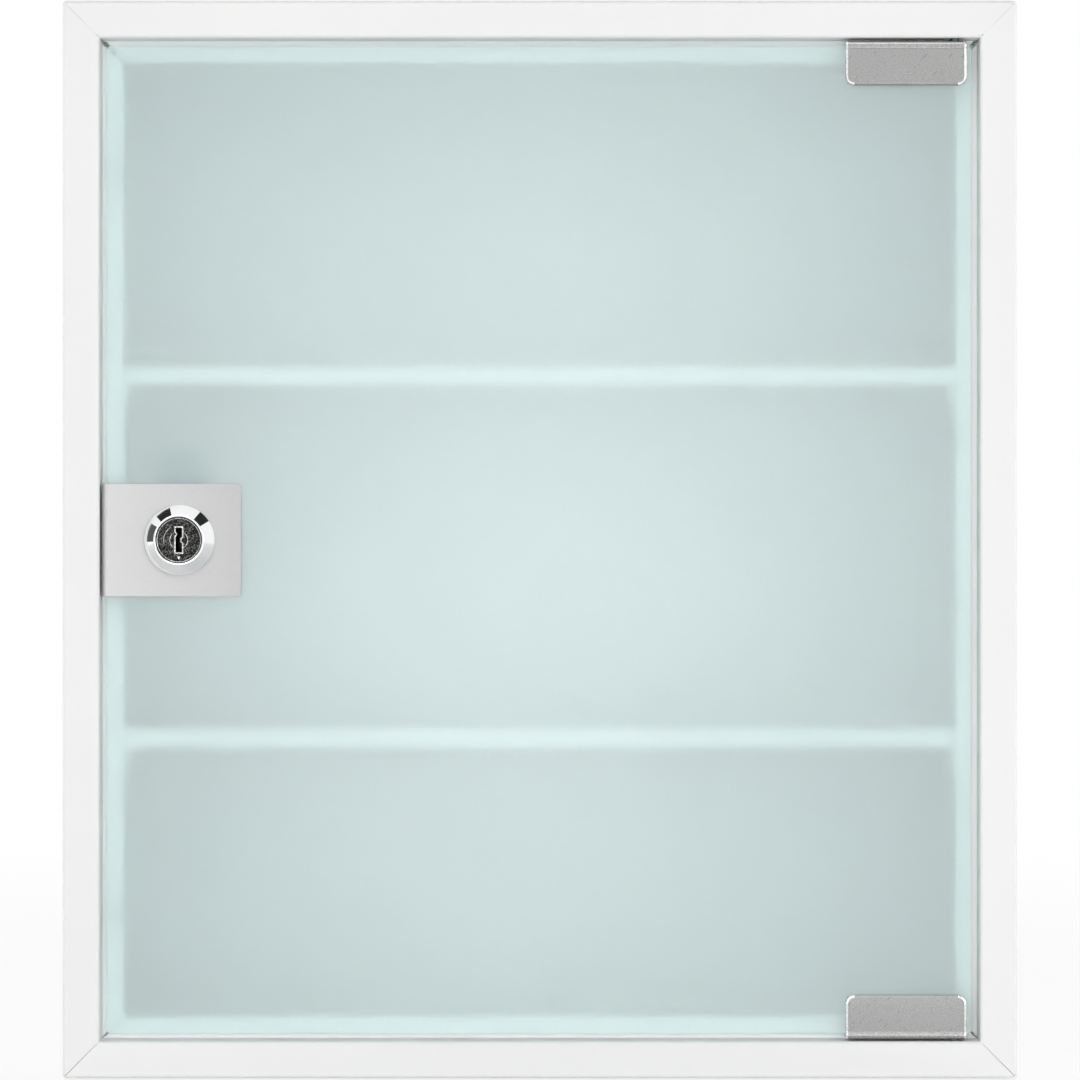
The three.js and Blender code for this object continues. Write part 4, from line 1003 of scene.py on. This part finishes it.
# The edges of the rim are eased as those of the bezel.
rim_profile = [
    (FACE_RADIUS, dish + 0.1), (FACE_RADIUS, CORE_FRONT + 0.15), (FACE_RADIUS + 0.12, CORE_FRONT),
    (RIM_RADIUS - 0.3, CORE_FRONT), (RIM_RADIUS - 0.18, CORE_FRONT + 0.15), (RIM_RADIUS - 0.18, dish + 0.3),
]
add_turned(rim, rim_profile, at_lock, CORE_SIDES)
slot_sides = [Vector((LOCK_X + x, LOCK_Z + z)) for x, z in reversed(slot_corners)]
lip_outline = inset_loop(slot_sides, LIP_WIDTH)[::-1]
lip_loops = [rounded_loop(lip_outline, LIP_CORNER, SLOT_STEPS), key_slot]
add_plate(rim, lip_loops, dish - LIP_HEIGHT, dish + LIP_FOOT, LIP_EDGES)
make_piece("lock_core_rim", rim, "lock_core", worn_nickel, ["lock_plug"])

# %% Marks on the core's face
RING_RADIUS, RING_BEAD, RING_SPANS = 2.9, 0.14, ((-62, 62), (118, 242))
ARC_RADIUS, ARC_BEAD, ARC_SPAN = 4.9, 0.1, (120, 200)
BEAD_TAPER, BEAD_TIP = 4, 0.01
INDEX_TOP, INDEX_POINT, INDEX_HALF, INDEX_HEIGHT, INDEX_EDGE = -5.3, -6.4, 0.6, 0.15, 0.1


def add_bead(bm, radius, span, bead, steps=24):
    """A half-round bead along an arc on the core's face, thinner in the first and last quarter."""
    start, end = span
    rows = []
    for step in range(steps + 1):
        angle = math.radians(start + (end - start) * step / steps)
        taper = BEAD_TAPER * min(step, steps - step) / steps
        thin = bead * min(1.0, taper) + BEAD_TIP
        row = []
        for part in range(ARC_STEPS + 1):
            turn = math.pi * part / ARC_STEPS
            reach = radius + thin * math.cos(turn)
            row.append(at_lock(reach * math.cos(angle), reach * math.sin(angle), dish - thin * math.sin(turn)))
        rows.append(row)
    rings = add_grid(bm, rows)
    add_grid(bm, [[v.co for v in (ring[0], ring[-1])] for ring in rings])


marks = bmesh.new()
for span in RING_SPANS:
    add_bead(marks, RING_RADIUS, span, RING_BEAD)
add_bead(marks, ARC_RADIUS, ARC_SPAN, ARC_BEAD)
triangle = [(-INDEX_HALF, INDEX_TOP), (0.0, INDEX_POINT), (INDEX_HALF, INDEX_TOP)]
index_loop = rounded_loop([(LOCK_X + x, LOCK_Z + z) for x, z in triangle], INDEX_EDGE, SLOT_STEPS)
add_plate(marks, [index_loop], dish - INDEX_HEIGHT, dish + INDEX_EDGE, [INDEX_EDGE])
make_piece("lock_core_marks", marks, "lock_core", worn_nickel, ["lock_plug"])

# %% [markdown]
# ### Cam, washer and screw
# Behind the door a flat lever sits on the core's square tail, held by a washer and a pan-head screw with a cross
# recess. The lever points up while the door is free and turns behind the stop lip to lock it.

# %% Cam
CAM_HALF, CAM_REACH, CAM_CORNER, CAM_FRONT, CAM_BACK = 8.0, 29.5, 5.0, -106.6, -104.6
CAM_HOLE, CAM_HOLE_CORNER, CAM_EDGES = 3.55, 0.3, [0.25, 0.1]
FOOT_STEPS, TIP_STEPS = 24, 8

lock_axis = Vector((LOCK_X, LOCK_Z))
foot = [math.pi + math.pi * step / FOOT_STEPS for step in range(FOOT_STEPS + 1)]
lever = [lock_axis + Vector((CAM_HALF * math.cos(a), CAM_HALF * math.sin(a))) for a in foot]
for side, start in ((1, 0.0), (-1, math.pi / 2)):
    centre = lock_axis + Vector((side * (CAM_HALF - CAM_CORNER), CAM_REACH - CAM_CORNER))
    for step in range(TIP_STEPS + 1):
        a = start + math.pi / 2 * step / TIP_STEPS
        lever.append(centre + Vector((CAM_CORNER * math.cos(a), CAM_CORNER * math.sin(a))))
cam = bmesh.new()
square_hole = rounded_loop(lock_square(CAM_HOLE), CAM_HOLE_CORNER, SLOT_STEPS)[::-1]
add_plate(cam, [lever, square_hole], CAM_FRONT, CAM_BACK, CAM_EDGES)
make_piece("cam_lever", cam, "lock_core", dark_zinc, ["lock_cam"])

# %% Cam washer and screw
CAM_WASHER_RADIUS, CAM_WASHER_HOLE, CAM_WASHER_EDGE = 5.5, 2.7, 0.12
CAM_WASHER_FRONT, CAM_WASHER_BACK = -104.55, -103.75
SCREW_RADIUS, SCREW_NECK, SCREW_FRONT, SCREW_BACK = 4.25, 4.2, -103.7, -101.5
CROSS_ARM, CROSS_HALF, CROSS_FLOOR, CROSS_CORNER = 2.4, 0.55, -102.7, 0.2
NECK_EDGE, HEAD_EDGES = [0.1], [0.58, 0.15]

ring = bmesh.new()
ring_loops = [lock_circle(CAM_WASHER_RADIUS), lock_circle(CAM_WASHER_HOLE)[::-1]]
add_plate(ring, ring_loops, CAM_WASHER_FRONT, CAM_WASHER_BACK, [CAM_WASHER_EDGE, CAM_WASHER_EDGE])
make_piece("cam_ring", ring, "lock_core", zinc_plate, ["cam_washer"])

cross = []
for quarter in range(4):
    turn = Matrix.Rotation(math.pi / 2 * quarter, 2)
    for point in ((CROSS_ARM, -CROSS_HALF), (CROSS_ARM, CROSS_HALF), (CROSS_HALF, CROSS_HALF)):
        cross.append(lock_axis + turn @ Vector(point))
screw = bmesh.new()
add_plate(screw, [lock_circle(SCREW_NECK)], SCREW_FRONT, CROSS_FLOOR, NECK_EDGE)
recess = rounded_loop(cross, CROSS_CORNER, FEW_STEPS)[::-1]
add_plate(screw, [lock_circle(SCREW_RADIUS), recess], CROSS_FLOOR, SCREW_BACK, HEAD_EDGES)
make_piece("cam_screw_head", screw, "lock_core", zinc_plate, ["cam_screw"])

# %% [markdown]
# ### Solids that stay
# The liners and the wafers inside the lock are right as they are. They keep their solids and get the cloudy vinyl
# and the near-black zinc made above, which paints the shade of the deep key slot onto the wafers.

# %% Finish the solids that stay
for name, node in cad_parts.items():
    if node.hide_render:
        continue
    finish = clear_liner if name.endswith("liner") else painted_shade_zinc
    node.data.materials.clear()
    node.data.materials.append(finish)
    print("kept solid:", name, "as", finish.name)

# %% [markdown]
# ## Studio
# The photograph is a straight front view on white in soft light. The world here is white to the camera, to
# reflections and through glass, and weak to everything else, so that the lamps shape the object. The floor is nearly
# white too. It keeps a share of the real shadow and fades into the world further off.

# %% Nodes of the studio
def combine(tree, operation, first, second):
    """One Math node; its second value may be a plain number."""
    node = tree.nodes.new("ShaderNodeMath")
    node.operation = operation
    tree.links.new(first, node.inputs[0])
    if isinstance(second, float):
        node.inputs[1].default_value = second
    else:
        tree.links.new(second, node.inputs[1])
    return node.outputs["Value"]


# %% White world
AMBIENT = 0.12

world = bpy.data.worlds.new("white_studio")
bpy.context.scene.world = world
world.use_nodes = True
tree = world.node_tree
tree.nodes.clear()
rays = tree.nodes.new("ShaderNodeLightPath").outputs
seen = combine(tree, "MAXIMUM", rays["Is Camera Ray"], rays["Is Glossy Ray"])
seen = combine(tree, "MAXIMUM", seen, rays["Is Transmission Ray"])
sky = tree.nodes.new("ShaderNodeBackground")
sky.inputs["Color"].default_value = (1, 1, 1, 1)
tree.links.new(remap(tree, seen, low=AMBIENT), sky.inputs["Strength"])
out = tree.nodes.new("ShaderNodeOutputWorld")
tree.links.new(sky.outputs["Background"], out.inputs["Surface"])
print("ambient level", AMBIENT)

# %% Floor
FLOOR_Z, FLOOR_HALF = -0.1756, 2.0
FLOOR_TONE, FLOOR_ROUGHNESS = (0.88, 0.88, 0.88, 1), 0.9
SHADOW_SHARE, MIRROR_SHARE = 0.14, 0.1
FADE_START, FADE_END = 0.45, 1.2


def stage_sheet(name, rows, finish):
    """A sheet of the studio, which is no part of the cabinet."""
    bm = bmesh.new()
    add_grid(bm, rows)
    holder = put_in_scene(name, finished_mesh(name, bm, finish))
    return holder


floor_finish = bpy.data.materials.new("floor_white")
floor_finish.use_nodes = True
tree = floor_finish.node_tree
paper = tree.nodes["Principled BSDF"]
paper.inputs["Base Color"].default_value = FLOOR_TONE
paper.inputs["Roughness"].default_value = FLOOR_ROUGHNESS
glow = tree.nodes.new("ShaderNodeEmission")
glow.inputs["Color"].default_value = (1, 1, 1, 1)
rays = tree.nodes.new("ShaderNodeLightPath").outputs
seen = combine(tree, "MAXIMUM", rays["Is Camera Ray"], rays["Is Transmission Ray"])
place = tree.nodes.new("ShaderNodeTexCoord")
distance = tree.nodes.new("ShaderNodeVectorMath")
distance.operation = "LENGTH"
tree.links.new(place.outputs["Object"], distance.inputs[0])
fade = remap(tree, distance.outputs["Value"], FADE_START, FADE_END, low=1.0 - SHADOW_SHARE)
seen_share = combine(tree, "MULTIPLY", seen, fade)
mirror_share = combine(tree, "MULTIPLY", rays["Is Glossy Ray"], MIRROR_SHARE)
mix = tree.nodes.new("ShaderNodeMixShader")
tree.links.new(combine(tree, "MAXIMUM", seen_share, mirror_share), mix.inputs["Fac"])
tree.links.new(paper.outputs["BSDF"], mix.inputs[1])
tree.links.new(glow.outputs["Emission"], mix.inputs[2])
tree.links.new(mix.outputs["Shader"], tree.nodes["Material Output"].inputs["Surface"])
floor_ends = (-FLOOR_HALF, FLOOR_HALF)
stage_sheet("studio_floor", [[(x, y, FLOOR_Z) for x in floor_ends] for y in floor_ends], floor_finish)
print("floor", FLOOR_Z, "m, fades out between", FADE_START, "and", FADE_END, "m")

# %% [markdown]
# ### Lamps
# Light through frosted glass has to come from the front. A far lamp behind the camera gives most of it, hidden from
# reflections, and a low strip helps the lower frame. A large lamp at the upper left shapes the metal, and weaker ones
# fill in from the right and from above. All stay at a plain level, so that paint written as a light grey renders as
# that grey. One small lamp shines on the glass alone, by light linking. It gives the sheen in the middle of the door,
# which would burn out the paint if it fell on that too. Lamps at the sides and the rear serve the other views. They
# are hidden from reflections as well, because at a grazing angle even satin paint mirrors a lamp as a white patch.

# %% Lamps
AIM = Vector((0, FRONT * MM / 2, -0.03))
# Name, place, width, height, watts, and whether reflections show it.
LAMPS = [
    ("front_lamp", (0, -2.4, -0.02), 0.5, 0.28, 15.8, False),
    ("low_lamp", (0, -0.8, -0.13), 1.0, 0.07, 0.5, True),
    ("key_lamp", (-0.75, -1.35, 1.2), 1.0, 1.0, 5.2, True),
    ("fill_lamp", (1.3, -1.4, 0.2), 1.0, 0.6, 4.3, True),
    ("top_lamp", (0, -1.2, 1.2), 0.8, 0.6, 3.0, True),
    ("left_lamp", (-1.9, 0.3, 0.7), 1.4, 1.4, 20.0, False),
    ("right_lamp", (1.9, 0.3, 0.7), 1.4, 1.4, 20.0, False),
    ("rear_lamp", (0.4, 2.2, 0.8), 1.4, 1.4, 24.0, False),
]


def soft_lamp(name, place, width, height, watts, mirrored):
    """A soft lamp aimed at the cabinet, which the camera itself never sees."""
    lamp = bpy.data.lights.new(name, "AREA")
    lamp.shape = "RECTANGLE"
    lamp.size, lamp.size_y = width, height
    lamp.energy = watts
    holder = put_in_scene(name, lamp)
    holder.location = place
    holder.rotation_euler = (AIM - Vector(place)).to_track_quat("-Z", "Y").to_euler()
    holder.visible_camera = False
    holder.visible_glossy = mirrored
    return holder


for lamp in LAMPS:
    soft_lamp(*lamp)
print("lamps:", [lamp[0] for lamp in LAMPS])

# %% Sheen on the glass
SHEEN_SPREAD = math.radians(26)

sheen_lamp = soft_lamp("sheen_lamp", (-0.012, -0.92, -0.008), 0.05, 0.33, 0.043, True)
sheen_lamp.data.spread = SHEEN_SPREAD
sheen_lamp.rotation_euler = (math.pi / 2, 0, 0)
glass_only = bpy.data.collections.new("glass_only")
glass_only.objects.link(door_glass)
sheen_lamp.light_linking.receiver_collection = glass_only

# %% [markdown]
# ### Cards
# A chromed bezel shows what stands round it, and in a white room that is nothing. Dark cards beside and above the
# cabinet, seen only in reflections, give it its dark facets. One more card stands for the wall behind the keyholes.
# Only light that came through the glass sees it, so the back stays in view from behind.

# %% Cards
CARD_DISTANCE, CARD_DEPTH, CARD_STEPS = 0.6, 0.35, 8
WALL_GAP, WALL_HALF = 0.002, 0.15


def make_card(name, rows, tone):
    """A dull card that nothing sees until one kind of ray is let in."""
    paint = bpy.data.materials.new(name)
    paint.use_nodes = True
    paint.node_tree.nodes["Principled BSDF"].inputs["Base Color"].default_value = (tone, tone, tone, 1)
    paint.node_tree.nodes["Principled BSDF"].inputs["Roughness"].default_value = 1.0
    holder = stage_sheet(name, rows, paint)
    holder.visible_camera = holder.visible_diffuse = holder.visible_shadow = False
    holder.visible_glossy = holder.visible_transmission = False
    return holder


def reflect_card(name, start, end, tone):
    """A card round the lock between two clock angles, seen only in reflections."""
    rows = []
    for step in range(CARD_STEPS + 1):
        angle = math.radians(start + (end - start) * step / CARD_STEPS)
        x = LOCK_X * MM + CARD_DISTANCE * math.sin(angle)
        z = LOCK_Z * MM + CARD_DISTANCE * math.cos(angle)
        rows.append([(x, FRONT * MM + depth, z) for depth in (-CARD_DEPTH, CARD_DEPTH)])
    make_card(name, rows, tone).visible_glossy = True


reflect_card("card_upper_right", 33, 55, 0.02)
reflect_card("card_upper_left", 313, 340, 0.02)
reflect_card("card_left", 267, 299, 0.1)
wall_ends = (-WALL_HALF, WALL_HALF)
wall_rows = [[(x, WALL_GAP, z) for x in wall_ends] for z in wall_ends]
make_card("card_wall", wall_rows, 0.8).visible_transmission = True

# %% [markdown]
# ## Camera
# The camera looks straight at the front. Its distance is a guess of a product shot, 1.6 m from the frame, and the
# lens follows from it: the picture is 350.6 mm wide at the front of the frame.

# %% Camera
CAMERA_DISTANCE, PICTURE_WIDTH = 1.6, 0.3506
CAMERA_X, CAMERA_Z = 0.00008, -0.00016

camera = bpy.data.cameras.new("front_camera")
camera.sensor_width = 36.0
camera.lens = camera.sensor_width * CAMERA_DISTANCE / PICTURE_WIDTH
camera.clip_start, camera.clip_end = 0.05, 50.0
viewpoint = put_in_scene("front_camera", camera)
viewpoint.location = (CAMERA_X, FRONT * MM - CAMERA_DISTANCE, CAMERA_Z)
viewpoint.rotation_euler = (math.pi / 2, 0, 0)
bpy.context.scene.camera = viewpoint
bpy.context.scene.view_settings.view_transform = "Standard"
print("lens", round(camera.lens, 1), "mm")
